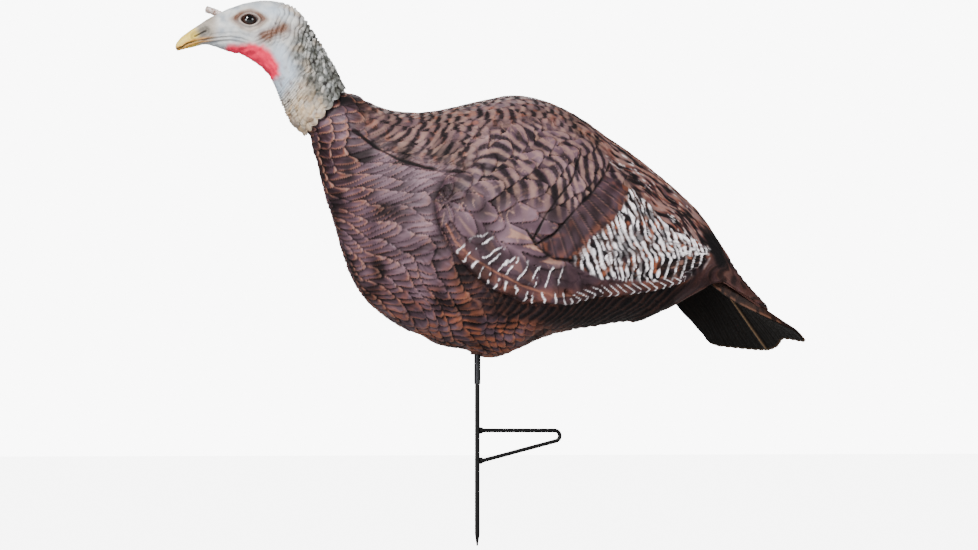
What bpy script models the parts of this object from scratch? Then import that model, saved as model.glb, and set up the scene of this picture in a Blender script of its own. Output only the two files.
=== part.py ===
"""A life-size hen turkey decoy on a steel ground stake, in metres, +Z up.

The bird looks along -X, its left side is -Y, and the origin is on the stake's axis at ground level.
The body is a loft along one slanted axis: that axis is also the one the head turns about.
"""
import math

import bmesh
import bpy
import numpy as np
from mathutils import Matrix, Vector

MM = 0.001
GAP = 0.3 * MM                      # clearance between pieces that touch

# ground stake, foot step and the pivot tube that the body turns on
STAKE_RADIUS = 3.0 * MM
STAKE_TIP_Z = -137 * MM
STAKE_TOP_Z = 352 * MM
STAKE_POINT_LENGTH = 14 * MM
STEP_ROD_RADIUS = 2.5 * MM
STEP_REACH = 107 * MM
STEP_BRACE_Z = -36 * MM
STEP_BEND_RADIUS = 6.5 * MM
TUBE_BORE = 3.3 * MM
TUBE_RADIUS = 3.9 * MM
TUBE_BOTTOM_Z = 59 * MM
TUBE_TOP_Z = 356 * MM

# body loft: its axis starts at the neck joint and slants down towards the tail
NECK_CENTRE = Vector((-194 * MM, 0, 386 * MM))
AXIS_SLANT = math.radians(38)
ALONG = Vector((math.cos(AXIS_SLANT), 0, -math.sin(AXIS_SLANT)))
ACROSS = Vector((math.sin(AXIS_SLANT), 0, math.cos(AXIS_SLANT)))
WALL = 3 * MM
NECK_RADIUS = 33 * MM

# distance along the axis, back line, belly line and half width of the body, in mm
BODY = np.array([
    (-6, 33, -33, 33), (7, 33.4, -33.4, 33.4), (14, 37, -38.5, 37), (30, 40, -48, 42), (65, 53, -75, 56),
    (100, 82, -98, 73), (135, 127, -122, 89), (165, 165, -138, 100), (200, 188, -144, 109),
    (245, 201, -139, 116), (268, 204, -131, 118), (290, 206, -127, 119), (317, 209, -111, 119),
    (350, 212, -97, 117), (362, 212, -76, 116), (381, 212.5, -41, 113), (401, 212, -14, 110),
    (435, 210, 24, 103), (455, 206, 46, 97), (470, 201, 58, 93), (483, 196, 84, 88), (494, 191, 104, 84),
    (530, 177, 105, 90), (566, 165, 109, 103),
]) * MM

# angle round the section from the back line, in degrees, and where the rear rim is there, in mm
REAR_RIM = np.array([(0, 556), (40, 560), (76, 564), (86, 536), (98, 510), (120, 496), (150, 483), (180, 490)])

# tail fan: distance along the axis, height of its middle line, half width and droop of its edges, in mm
TAIL = np.array([
    (468, 184.8, 52, 46), (494, 178, 65, 44), (534, 167.5, 83, 36), (564, 159.6, 100, 25),
    (588, 153.3, 120, 17), (606, 148.6, 137, 12), (635, 141, 140, 10),
]) * MM
TAIL_THICKNESS = 2 * MM
TAIL_CORNER_CUT = 27 * MM           # how much shorter the outer feathers are than the middle ones

# head and neck: back line x and z, throat line x and z, half width, in mm
HEAD = np.array([
    (-171.6, 414.7, -216.4, 357.3, 36.4), (-180, 434, -231, 367, 36), (-190, 450, -240, 384, 34.5),
    (-202, 468, -247, 398, 33), (-212, 483, -254, 414, 31), (-222, 499, -262, 428, 29),
    (-236, 510.5, -271, 436, 27), (-254, 515, -281, 443, 25.5), (-270, 515, -291, 447.5, 24),
    (-284, 512.5, -300, 450, 22.5), (-297, 508.5, -309, 451.5, 20.5), (-311, 502.5, -318, 453.5, 17.5),
    (-324, 495.5, -327, 456, 14), (-336, 488.5, -337, 457, 11.5), (-348, 479.5, -347, 455, 9.5),
    (-358, 472, -356, 452.5, 8), (-367, 464.5, -364, 450.5, 6), (-373, 456.5, -371, 448, 3.5),
]) * MM
EYE_RADIUS = 8.5 * MM
EYE_CENTRE = Vector((-287.5 * MM, 15.5 * MM, 487.5 * MM))
SNOOD_BASE = Vector((-321 * MM, 0, 495.5 * MM))
SNOOD_AXIS = Vector((-0.82, 0, 0.57))

# neck joint: radii of the nested sleeves
COLLAR_RADIUS = 29.5 * MM
COLLAR_BORE = 22 * MM
CUP_RADIUS = 21.7 * MM
CUP_BORE = 15.8 * MM
SPIGOT_RADIUS = 15.4 * MM
HEAD_BORE = 33.4 * MM


def smooth(where, at, values):
    """Cubic curve through the values, its slope at each knot the mean of its neighbours' slopes."""
    where = np.asarray(where, float)
    steps = np.diff(values) / np.diff(at)
    slopes = np.concatenate([steps[:1], (steps[1:] + steps[:-1]) / 2, steps[-1:]])
    i = np.clip(np.searchsorted(at, where) - 1, 0, len(at) - 2)
    width = at[i + 1] - at[i]
    t = (where - at[i]) / width
    rise = values[i + 1] - values[i]
    a = slopes[i] * width - rise
    b = rise - slopes[i + 1] * width
    return values[i] * (1 - t) + values[i + 1] * t + t * (1 - t) * (a * (1 - t) + b * t)


def body_point(along, angle):
    """The outer skin at a distance along the axis and an angle round from the back line; left is positive."""
    back, belly, width = (smooth(along, BODY[:, 0], BODY[:, k]) for k in (1, 2, 3))
    up = (back + belly) / 2 + (back - belly) / 2 * np.cos(angle)
    side = -width * np.sin(angle)
    return axis_point(along, up, side)


def axis_point(along, up, side):
    """Points given along, above and beside the body's axis, as an array of xyz."""
    along, up, side = np.broadcast_arrays(along, up, side)
    centre = np.array(NECK_CENTRE)
    return (centre + along[..., None] * np.array(ALONG) + up[..., None] * np.array(ACROSS)
            + side[..., None] * np.array((0, 1, 0)))


def new_object(name, bm, colour, roughness=0.6, metallic=0.0, smooth_under=40):
    """Ends a bmesh as a named object with its own material."""
    bmesh.ops.recalc_face_normals(bm, faces=bm.faces)
    mesh = bpy.data.meshes.new(name)
    bm.to_mesh(mesh)
    bm.free()
    mesh.shade_smooth()
    mesh.set_sharp_from_angle(angle=math.radians(smooth_under))
    material = bpy.data.materials.new(name)
    material.use_nodes = True
    shader = material.node_tree.nodes["Principled BSDF"]
    shader.inputs["Base Color"].default_value = (*colour, 1)
    shader.inputs["Roughness"].default_value = roughness
    shader.inputs["Metallic"].default_value = metallic
    mesh.materials.append(material)
    obj = bpy.data.objects.new(name, mesh)
    bpy.context.collection.objects.link(obj)
    return obj


def add_grid(bm, points, closed_columns=False):
    """Quads over a grid of points; returns the rows of vertices."""
    rows = [[bm.verts.new(p) for p in row] for row in points]
    count = len(rows[0])
    for upper, lower in zip(rows, rows[1:]):
        for c in range(count if closed_columns else count - 1):
            d = (c + 1) % count
            bm.faces.new((upper[c], upper[d], lower[d], lower[c]))
    return rows


def sheet_solid(outer, inner):
    """A closed wall between two grids of points of the same size."""
    bm = bmesh.new()
    a, b = add_grid(bm, outer), add_grid(bm, inner)
    for one, two in ((a[0], b[0]), (a[-1], b[-1])):
        for c in range(len(one) - 1):
            bm.faces.new((one[c], one[c + 1], two[c + 1], two[c]))
    for c in (0, -1):
        for upper_a, lower_a, upper_b, lower_b in zip(a, a[1:], b, b[1:]):
            bm.faces.new((upper_a[c], lower_a[c], lower_b[c], upper_b[c]))
    return bm


def ring_solid(rings):
    """A closed skin over a run of rings, capped at both ends."""
    bm = bmesh.new()
    rows = add_grid(bm, rings, closed_columns=True)
    bm.faces.new(rows[0])
    bm.faces.new(rows[-1])
    return bm


def turned(profile, origin=(0, 0, 0), axis=(0, 0, 1), sides=20):
    """A profile of (radius, height) points turned about an axis; a radius of 0 at an end closes it."""
    bm = bmesh.new()
    verts = [bm.verts.new((r, 0, h)) for r, h in profile]
    ends_open = profile[0][0] > 0 and profile[-1][0] > 0
    pairs = list(zip(verts, verts[1:])) + ([(verts[-1], verts[0])] if ends_open else [])
    edges = [bm.edges.new(pair) for pair in pairs]
    bmesh.ops.spin(bm, geom=verts + edges, cent=(0, 0, 0), axis=(0, 0, 1), angle=math.tau,
                   steps=sides, use_merge=True)
    bmesh.ops.remove_doubles(bm, verts=bm.verts, dist=1e-6)
    place = Matrix.Translation(origin) @ Vector((0, 0, 1)).rotation_difference(Vector(axis)).to_matrix().to_4x4()
    bmesh.ops.transform(bm, matrix=place, verts=bm.verts)
    return bm


def swept(points, radii, sides=12):
    """A rod along points in the plane y = 0, with a flat facet facing up where it runs level."""
    points = np.asarray(points, float)
    tangents = np.gradient(points, axis=0)
    rings = []
    for point, tangent, radius in zip(points, tangents, radii):
        normal = np.array((-tangent[2], 0, tangent[0])) / math.hypot(tangent[0], tangent[2])
        angles = (np.arange(sides) + 0.5) * math.tau / sides
        rings.append(point + radius * (np.cos(angles)[:, None] * normal + np.sin(angles)[:, None] * (0, 1, 0)))
    return ring_solid(rings)


def boolean(obj, other_bm, operation, name):
    """Cuts or joins a helper shape into an object with a Boolean modifier."""
    helper = new_object(f"{obj.name}_{name}", other_bm, (0.5, 0.5, 0.5))
    helper.hide_render = True
    helper.display_type = "WIRE"
    modifier = obj.modifiers.new(name, "BOOLEAN")
    modifier.operation = operation
    modifier.object = helper
    return obj


# ---- stake -------------------------------------------------------------------------------------

def make_ground_stake(empty):
    profile = [(0, STAKE_TIP_Z), (0.9 * MM, STAKE_TIP_Z), (STAKE_RADIUS, STAKE_TIP_Z + STAKE_POINT_LENGTH),
               (STAKE_RADIUS, STAKE_TOP_Z - 1 * MM), (STAKE_RADIUS - 1 * MM, STAKE_TOP_Z), (0, STAKE_TOP_Z)]
    parented(new_object("ground_stake", turned(profile), (0.02, 0.02, 0.022), 0.45, 1.0), empty)


def make_foot_step(empty):
    """A bent rod welded to the stake at both ends; its upper bar lies on the ground."""
    flat = STEP_ROD_RADIUS * math.cos(math.pi / 12)
    bar_z = flat
    bend_x = STEP_REACH - STEP_BEND_RADIUS
    bend_z = bar_z - STEP_BEND_RADIUS
    slope = math.atan2(bend_z - STEP_BEND_RADIUS - STEP_BRACE_Z, bend_x)
    bend = [(bend_x + STEP_BEND_RADIUS * math.sin(t), 0, bend_z + STEP_BEND_RADIUS * math.cos(t))
            for t in np.linspace(0, math.pi - slope, 9)]
    weld = [1.5 * MM, 4.5 * MM, 7 * MM]
    brace_end = Vector((0, 0, STEP_BRACE_Z))
    brace_way = (Vector(bend[-1]) - brace_end).normalized()
    upper = [(x, 0, bar_z) for x in weld]
    lower = [tuple(brace_end + brace_way * x) for x in reversed(weld)]
    flare = [STEP_ROD_RADIUS + 1.4 * MM, STEP_ROD_RADIUS + 0.9 * MM, STEP_ROD_RADIUS]
    points = upper + bend + lower
    radii = flare + [STEP_ROD_RADIUS] * len(bend) + flare[::-1]
    step = new_object("foot_step", swept(points, radii), (0.02, 0.02, 0.022), 0.45, 1.0)
    seat = turned([(0, -60 * MM), (STAKE_RADIUS + GAP, -60 * MM), (STAKE_RADIUS + GAP, 20 * MM), (0, 20 * MM)])
    parented(boolean(step, seat, "DIFFERENCE", "stake_seat"), empty)


# ---- pivot tube --------------------------------------------------------------------------------

def make_pivot(empty):
    steel = dict(colour=(0.25, 0.25, 0.26), roughness=0.35, metallic=1.0)
    tube = [(TUBE_BORE, TUBE_BOTTOM_Z), (TUBE_RADIUS, TUBE_BOTTOM_Z), (TUBE_RADIUS, TUBE_TOP_Z),
            (TUBE_BORE, TUBE_TOP_Z)]
    parented(new_object("pivot_tube", turned(tube), **steel), empty)
    plug = [(0, STAKE_TOP_Z + GAP), (TUBE_BORE - GAP, STAKE_TOP_Z + GAP), (TUBE_BORE - GAP, TUBE_TOP_Z + GAP),
            (TUBE_RADIUS, TUBE_TOP_Z + GAP), (TUBE_RADIUS, 358.6 * MM), (2.4 * MM, 360 * MM), (0, 360 * MM)]
    parented(new_object("tube_end_plug", turned(plug), **steel), empty)
    washer = [(TUBE_RADIUS + GAP, 322.5 * MM), (8 * MM, 322.5 * MM), (8 * MM, 324 * MM), (TUBE_RADIUS + GAP, 324 * MM)]
    parented(new_object("retaining_washer", turned(washer), **steel), empty)


# ---- body --------------------------------------------------------------------------------------

def body_rows(angles):
    """Distances along the axis for each row and angle: level rows first, then rows that fan out to the rim."""
    level = np.concatenate([[-6, 0, 7, 14, 22], np.arange(36, 240, 20), np.arange(244, 460, 14), [470]]) * MM
    rim = smooth(np.degrees(angles), REAR_RIM[:, 0], REAR_RIM[:, 1]) * MM
    last = level[-1]
    fan = [last + (rim - last) * share for share in (0.25, 0.5, 0.75, 1)]
    return np.array([np.full(len(angles), d) for d in level] + fan)


def make_body_shells(empty):
    """Two moulded halves that meet on the middle plane, with a notch for the belly bush."""
    angles = np.linspace(0, math.pi, 17)
    rows = body_rows(angles)
    nudge = 1e-4
    outer = body_point(rows, angles[None, :])
    run = body_point(rows + nudge, angles) - body_point(rows - nudge, angles)
    turn = body_point(rows, angles + nudge) - body_point(rows, angles - nudge)
    normal = np.cross(run, turn)
    normal /= np.linalg.norm(normal, axis=2, keepdims=True)
    normal *= np.sign((normal * (outer - outer.mean(axis=1, keepdims=True))).sum(axis=2, keepdims=True))
    inner = outer - normal * WALL
    for grid in (outer, inner):
        grid[:, (0, -1), 1] = -GAP / 2
    for name, mirror in (("body_shell_left", 1), ("body_shell_right", -1)):
        side = np.array((1, mirror, 1))
        shell = new_object(name, sheet_solid(outer * side, inner * side), (0.10, 0.055, 0.04))
        hole = turned([(0, 80 * MM), (8.7 * MM, 80 * MM), (8.7 * MM, 130 * MM), (0, 130 * MM)], sides=24)
        parented(boolean(shell, hole, "DIFFERENCE", "bush_hole"), empty)


def tail_point(along, share):
    """The tail sheet's middle surface at a distance along the axis and a share of its half width, -1 to 1."""
    height, width, droop = (smooth(along, TAIL[:, 0], TAIL[:, k]) for k in (1, 2, 3))
    return axis_point(along, height - droop * share ** 2, width * share)


def tail_normal(along, share):
    """The upward normal of the tail sheet."""
    nudge = 1e-4
    run = tail_point(along + nudge, share) - tail_point(along - nudge, share)
    turn = tail_point(along, share + nudge) - tail_point(along, share - nudge)
    normal = np.cross(run, turn)
    normal /= np.linalg.norm(normal, axis=-1, keepdims=True)
    return normal * np.sign(normal @ np.array(ACROSS))[..., None]


RIVET_PLACES = [(486 * MM, -0.42), (486 * MM, 0.42)]


def rivet_frame(place):
    along, share = (np.array(v) for v in place)
    return Vector(tail_point(along, share)), Vector(tail_normal(along, share))


def make_tail_fan(empty):
    share = np.linspace(-1, 1, 19)
    start, end = TAIL[0, 0], TAIL[-1, 0]
    last = end - TAIL_CORNER_CUT * np.abs(share) ** 1.6
    along = np.array([start + (last - start) * t for t in np.linspace(0, 1, 15)])
    middle, normal = tail_point(along, share), tail_normal(along, share)
    half = TAIL_THICKNESS / 2
    fan = new_object("tail_fan", sheet_solid(middle + normal * half, middle - normal * half), (0.035, 0.025, 0.02))
    for i, place in enumerate(RIVET_PLACES):
        origin, axis = rivet_frame(place)
        hole = turned([(0, -9 * MM), (2.1 * MM, -9 * MM), (2.1 * MM, 9 * MM), (0, 9 * MM)], origin, axis, 12)
        boolean(fan, hole, "DIFFERENCE", f"rivet_hole_{i}")
    parented(fan, empty)


def make_tail_rivets(empty):
    """Push rivets: a head above the sheet, a shank through sheet and shelf, and a spread end below."""
    top = TAIL_THICKNESS / 2 + GAP
    shelf_bottom = -TAIL_THICKNESS / 2 - 2 * GAP - 4 * MM
    profile = [(0, shelf_bottom - 2.6 * MM), (2.0 * MM, shelf_bottom - 2.6 * MM), (3.2 * MM, shelf_bottom - GAP),
               (1.7 * MM, shelf_bottom - GAP), (1.7 * MM, top), (4 * MM, top), (4 * MM, top + 1 * MM),
               (2.4 * MM, top + 2 * MM), (0, top + 2 * MM)]
    for name, place in zip(("tail_rivet_right", "tail_rivet_left"), RIVET_PLACES[::-1]):
        origin, axis = rivet_frame(place)
        parented(new_object(name, turned(profile, origin, axis, 12), (0.03, 0.03, 0.03), 0.5), empty)


def make_rear_bulkhead(empty):
    """A plate across the rear of the hollow body, with a shelf that the tail sheet is riveted to."""
    front, back = 476 * MM, 479 * MM
    clear = WALL + 1 * MM
    sides = np.linspace(-1, 1, 21)
    top, bottom = [], []
    height, half_width, belly = (smooth(back, BODY[:, 0], BODY[:, k]) for k in (1, 3, 2))
    narrowest = smooth(back + 2 * MM, BODY[:, 0], BODY[:, 2])
    middle, reach = (height + belly) / 2, (height - belly) / 2 - clear
    tail_height, tail_width, droop = (smooth(back, TAIL[:, 0], TAIL[:, k]) for k in (1, 2, 3))
    for s in sides:
        y = s * (half_width - clear - 11 * MM)
        round_part = math.sqrt(1 - (y / (half_width - clear)) ** 2)
        sheet_under = tail_height - droop * min(1.1, ((abs(y) + 4 * MM) / tail_width) ** 2) - 3 * MM
        top.append((y, min(middle + reach * round_part, sheet_under)))
        bottom.append((y, max(middle - (reach - 8 * MM) * round_part, narrowest + clear + 4 * MM)))
    outer = np.array([[axis_point(a, q, y) for y, q in top] for a in (front, back)])
    inner = np.array([[axis_point(a, q, y) for y, q in bottom] for a in (front, back)])
    plate = new_object("rear_bulkhead", sheet_solid(outer, inner), (0.05, 0.05, 0.05))
    share = np.linspace(-1, 1, 19)[3:-3]
    along = np.array([np.full(len(share), a) for a in (back - 1.5 * MM, 493 * MM)])
    normal, sheet = tail_normal(along, share), tail_point(along, share)
    under = sheet - normal * (TAIL_THICKNESS / 2 + 2 * GAP)
    boolean(plate, sheet_solid(under, under - normal * 4 * MM), "UNION", "shelf")
    for i, place in enumerate(RIVET_PLACES):
        origin, axis = rivet_frame(place)
        hole = turned([(0, -12 * MM), (2.1 * MM, -12 * MM), (2.1 * MM, 4 * MM), (0, 4 * MM)], origin, axis, 12)
        boolean(plate, hole, "DIFFERENCE", f"rivet_hole_{i}")
    parented(plate, empty)


def skin_above(x, y):
    """Height of the underside of the body's back above a point."""
    angles = np.linspace(-0.6, 0.6, 25)
    along = np.linspace(40 * MM, 260 * MM, 45)[:, None]
    points = body_point(along, angles).reshape(-1, 3)
    near = points[np.argsort(np.hypot(points[:, 0] - x, points[:, 1] - y))[:3]]
    return near[:, 2].min() - WALL * 1.25


def make_stake_socket(empty):
    """The socket under the back that stands on the pivot tube, with its bush, thrust pad and the belly bush."""
    nylon = dict(colour=(0.75, 0.74, 0.70), roughness=0.4)
    top = 396 * MM
    profile = [(0, top), (19 * MM, top), (19 * MM, 388 * MM), (12 * MM, 376 * MM), (12 * MM, 328 * MM),
               (6.3 * MM, 328 * MM), (6.3 * MM, 366 * MM), (0, 366 * MM)]
    socket = turned(profile)
    for vert in socket.verts:
        if vert.co.z > top - 1e-5:
            vert.co.z = skin_above(vert.co.x, vert.co.y)
    parented(new_object("stake_socket", socket, (0.05, 0.05, 0.05)), empty)
    bush = [(TUBE_RADIUS + GAP, 325 * MM), (9 * MM, 325 * MM), (9 * MM, 327.7 * MM), (6 * MM, 327.7 * MM),
            (6 * MM, 351 * MM), (TUBE_RADIUS + GAP, 351 * MM)]
    parented(new_object("top_bush", turned(bush), **nylon), empty)
    pad = [(0, 360.3 * MM), (5.9 * MM, 360.3 * MM), (5.9 * MM, 365.7 * MM), (0, 365.7 * MM)]
    parented(new_object("thrust_pad", turned(pad), **nylon), empty)
    belly = [(TUBE_RADIUS + GAP, 95 * MM), (8.3 * MM, 95 * MM), (8.3 * MM, 108 * MM), (12 * MM, 108 * MM),
             (12 * MM, 111 * MM), (TUBE_RADIUS + GAP, 111 * MM)]
    parented(new_object("belly_bush", turned(belly), **nylon), empty)


# ---- neck joint, heights measured along the neck axis towards the head ---------------------------

def neck_turned(name, profile, empty, colour, roughness=0.5, sides=24):
    """A piece turned about the neck axis; profile heights and radii in mm."""
    points = [(r * MM if r > 1e-3 else 0, h * MM) for r, h in profile]
    return parented(new_object(name, turned(points, NECK_CENTRE, -ALONG, sides), colour, roughness), empty)


def make_neck_joint(body, swivel, head):
    collar, bore, cup, cup_bore, spigot = (
        v / MM for v in (COLLAR_RADIUS, COLLAR_BORE, CUP_RADIUS, CUP_BORE, SPIGOT_RADIUS))
    black = (0.04, 0.04, 0.04)
    neck_turned("neck_collar", [(bore, -14), (collar, -14), (collar, 5.5), (bore, 5.5)], body, black)
    neck_turned("neck_cup", [(0, -78), (cup - 2, -78), (cup, -76), (cup, -17.2), (cup - 1.2, -17.2),
                             (cup - 1.2, -14.3), (cup, -14.3), (cup, 5.8), (28, 5.8), (28, 8), (cup_bore, 8),
                             (cup_bore, -75), (0, -75)], swivel, black)
    neck_turned("cup_snap_ring", [(cup - 0.9, -16.9), (27, -16.9), (27, -14.6), (cup - 0.9, -14.6)], swivel,
                (0.4, 0.4, 0.42), 0.35)
    neck_turned("neck_spigot", [(0, -72), (spigot - 2, -72), (spigot, -70), (spigot, -61.5), (spigot - 2, -61.5),
                                (spigot - 2, -58.5), (spigot, -58.5), (spigot, 27), (22, 29), (22, 33.5),
                                (0, 33.5)], head, black)
    ring = [(spigot - 0.85 + 1.05 * math.cos(t), -60 + 1.05 * math.sin(t)) for t in np.arange(8) * math.tau / 8]
    neck_turned("spigot_o_ring", ring + ring[:1], head, (0.02, 0.02, 0.02))


# ---- head --------------------------------------------------------------------------------------

def head_ring(row, sides=20):
    back, throat = np.array((row[0], 0, row[1])), np.array((row[2], 0, row[3]))
    angles = np.arange(sides) * math.tau / sides
    middle, reach = (back + throat) / 2, (back - throat) / 2
    return middle + np.cos(angles)[:, None] * reach + np.sin(angles)[:, None] * (0, row[4], 0)


def ball(centre, radius, sides=16):
    bm = bmesh.new()
    bmesh.ops.create_uvsphere(bm, u_segments=sides, v_segments=sides // 2 + 2, radius=radius)
    turn = Matrix.Rotation(math.pi / 2, 4, "X")
    bmesh.ops.transform(bm, matrix=Matrix.Translation(centre) @ turn, verts=bm.verts)
    return bm


def make_head(empty):
    """The soft head and neck: a loft, bored for the neck joint, with sockets for the eyes and the snood."""
    head = new_object("head_shell", ring_solid([head_ring(row) for row in HEAD]), (0.45, 0.48, 0.50))
    bore = [(0, -30 * MM), (HEAD_BORE, -30 * MM), (HEAD_BORE, 9 * MM), (25 * MM, 34 * MM), (0, 34 * MM)]
    boolean(head, turned(bore, NECK_CENTRE, -ALONG, 24), "DIFFERENCE", "neck_bore")
    for name, side in (("eye_left", -1), ("eye_right", 1)):
        centre = Vector((EYE_CENTRE.x, side * EYE_CENTRE.y, EYE_CENTRE.z))
        boolean(head, ball(centre, EYE_RADIUS + GAP), "DIFFERENCE", f"{name}_socket")
        parented(new_object(name, ball(centre, EYE_RADIUS), (0.02, 0.012, 0.01), 0.08), empty)
    peg_hole = [(0, -7 * MM), (2.1 * MM, -7 * MM), (2.1 * MM, 12 * MM), (0, 12 * MM)]
    boolean(head, turned(peg_hole, SNOOD_BASE, SNOOD_AXIS, 12), "DIFFERENCE", "snood_hole")
    parented(head, empty)
    snood = [(0, -6.5 * MM), (1.8 * MM, -6.5 * MM), (1.8 * MM, 2.4 * MM), (3 * MM, 3.4 * MM), (3.1 * MM, 8 * MM),
             (2.9 * MM, 14 * MM), (2.2 * MM, 17.5 * MM), (0, 19 * MM)]
    parented(new_object("snood", turned(snood, SNOOD_BASE, SNOOD_AXIS, 12), (0.50, 0.42, 0.36)), empty)


def make_empty(name, location, parent=None):
    """An empty that stands for one moving body."""
    empty = bpy.data.objects.new(name, None)
    bpy.context.collection.objects.link(empty)
    empty.location = location
    if parent:
        empty.parent = parent
        empty.location = Vector(location) - parent.matrix_world.translation
    bpy.context.view_layer.update()
    return empty


def parented(obj, empty):
    """Parents an object whose mesh is in world space, keeping it where it is."""
    obj.parent = empty
    obj.matrix_parent_inverse = empty.matrix_world.inverted()
    return obj


def main():
    for obj in list(bpy.data.objects):
        bpy.data.objects.remove(obj, do_unlink=True)
    stake = make_empty("stake", (0, 0, 0))
    pivot = make_empty("pivot", (0, 0, 0), stake)
    body = make_empty("decoy_body", (0, 0, 0), pivot)
    swivel = make_empty("neck_swivel", NECK_CENTRE, body)
    head = make_empty("head", NECK_CENTRE, swivel)
    make_ground_stake(stake)
    make_foot_step(stake)
    make_pivot(pivot)
    make_body_shells(body)
    make_rear_bulkhead(body)
    make_tail_fan(body)
    make_tail_rivets(body)
    make_stake_socket(body)
    make_neck_joint(body, swivel, head)
    make_head(head)


main()
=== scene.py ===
import math
import bpy
import numpy as np
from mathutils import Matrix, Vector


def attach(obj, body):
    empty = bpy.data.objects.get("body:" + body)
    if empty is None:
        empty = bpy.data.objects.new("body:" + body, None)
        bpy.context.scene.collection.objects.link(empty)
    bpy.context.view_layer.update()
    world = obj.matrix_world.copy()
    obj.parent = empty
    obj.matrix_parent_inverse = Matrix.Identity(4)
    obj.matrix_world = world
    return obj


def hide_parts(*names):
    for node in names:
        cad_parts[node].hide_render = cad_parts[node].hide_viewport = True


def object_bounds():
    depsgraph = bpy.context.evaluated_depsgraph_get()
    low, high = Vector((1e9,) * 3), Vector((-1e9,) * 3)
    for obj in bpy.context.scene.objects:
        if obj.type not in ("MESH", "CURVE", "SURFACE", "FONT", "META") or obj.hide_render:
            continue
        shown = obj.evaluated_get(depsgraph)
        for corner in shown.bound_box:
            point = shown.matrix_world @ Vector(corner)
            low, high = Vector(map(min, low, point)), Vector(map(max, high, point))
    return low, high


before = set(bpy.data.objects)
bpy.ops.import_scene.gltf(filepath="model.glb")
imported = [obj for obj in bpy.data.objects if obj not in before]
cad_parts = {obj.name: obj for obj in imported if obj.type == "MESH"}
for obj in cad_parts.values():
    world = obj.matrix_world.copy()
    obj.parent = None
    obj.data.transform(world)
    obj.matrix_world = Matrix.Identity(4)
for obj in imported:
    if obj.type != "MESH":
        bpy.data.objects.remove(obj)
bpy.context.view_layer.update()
mm = 0.001
print("frame loaded")


def linear(hexText):  # sRGB hex to linear RGBA
    parts = [int(hexText[i:i + 2], 16) / 255 for i in (1, 3, 5)]
    return [p / 12.92 if p <= 0.04045 else ((p + 0.055) / 1.055) ** 2.4 for p in parts] + [1]


def add(tree, kind, inputs=None, **settings):  # adds a node, sets it and links it
    node = tree.nodes.new(kind)
    for key, value in settings.items():
        setattr(node, key, value)
    for key, value in (inputs or {}).items():
        if isinstance(value, bpy.types.NodeSocket):
            tree.links.new(value, node.inputs[key])
        else:
            node.inputs[key].default_value = value
    return node


def rampStops(ramp, *stops):  # colour stops of a ramp, in order
    elements = ramp.color_ramp.elements
    elements[0].position, elements[-1].position = stops[0][0], stops[-1][0]
    for spot, colour in stops[1:-1]:
        elements.new(spot)
    for element, (spot, colour) in zip(elements, stops):
        element.color = linear(colour)


def newMaterial(name):
    material = bpy.data.materials.new(name)
    material.use_nodes = True
    return material, material.node_tree, material.node_tree.nodes["Principled BSDF"]


def brushedOver(tree, paint, grain, layers):
    # colours laid over a base by painted masks; the grain breaks them up: amount = mask * (base + gain*grain)
    for key, colour, gain, base in layers:
        mask = add(tree, "ShaderNodeAttribute", attribute_name=key).outputs["Fac"]
        broken = add(tree, "ShaderNodeMath", {0: grain, 1: gain, 2: base}, operation="MULTIPLY_ADD").outputs[0]
        amount = add(tree, "ShaderNodeMath", {0: mask, 1: broken}, operation="MULTIPLY", use_clamp=True).outputs[0]
        paint = add(tree, "ShaderNodeMix", {0: amount, 6: paint, 7: linear(colour)}, data_type="RGBA").outputs[2]
    return paint


def grainyFinish(tree, shader, grain, dull, strength, depth):
    # roughness between the two values of dull and a bump, both led by the same grain; returns the roughness
    rough = add(tree, "ShaderNodeMapRange", {"Value": grain, "To Min": dull[0], "To Max": dull[1]}).outputs[0]
    tree.links.new(rough, shader.inputs["Roughness"])
    bump = add(tree, "ShaderNodeBump", {"Height": grain, "Strength": strength, "Distance": depth})
    tree.links.new(bump.outputs["Normal"], shader.inputs["Normal"])
    return rough


def curveThrough(where, at, values):
    # cubic through the values, the slope at each knot the mean of its neighbours' slopes
    where, at, values = np.asarray(where, float), np.asarray(at, float), np.asarray(values, float)
    steps = np.diff(values) / np.diff(at)
    slopes = np.concatenate([steps[:1], (steps[1:] + steps[:-1]) / 2, steps[-1:]])
    i = np.clip(np.searchsorted(at, where) - 1, 0, len(at) - 2)
    width = at[i + 1] - at[i]
    t = (where - at[i]) / width
    rise = values[i + 1] - values[i]
    bend = (slopes[i] * width - rise) * (1 - t) + (rise - slopes[i + 1] * width) * t
    return values[i] * (1 - t) + values[i + 1] * t + t * (1 - t) * bend


def ease(low, high, x):  # 0 below low, 1 above high, smooth between
    t = np.clip((x - low) / (high - low), 0, 1)
    return t * t * (3 - 2 * t)


def bell(x, width):  # 1 at 0, falling to either side
    return np.exp(-(x / width) ** 2)


def scatter(*keys):  # one repeatable number from 0 to 1 for each set of whole numbers
    total = sum(k * f for k, f in zip(keys, (12.9898, 78.233, 37.719, 91.17)))
    return np.mod(np.sin(total) * 43758.5453, 1)


def cloud(points, size, seed=0):
    # smooth value noise from 0 to 1: corner values of a cubic lattice, blended with an eased weight
    spot = points / size + 57.3 * seed
    cell = np.floor(spot)
    part = spot - cell
    part = part * part * (3 - 2 * part)
    total = 0
    for dx in (0, 1):
        for dy in (0, 1):
            for dz in (0, 1):
                weight = 1
                for axis, step in enumerate((dx, dy, dz)):
                    weight = weight * (part[..., axis] if step else 1 - part[..., axis])
                total = total + weight * scatter(cell[..., 0] + dx, cell[..., 1] + dy, cell[..., 2] + dz)
    return total


def flat2(x, z):  # two coordinates as points for cloud()
    return np.stack([x, z, np.zeros_like(x)], axis=-1)


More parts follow.
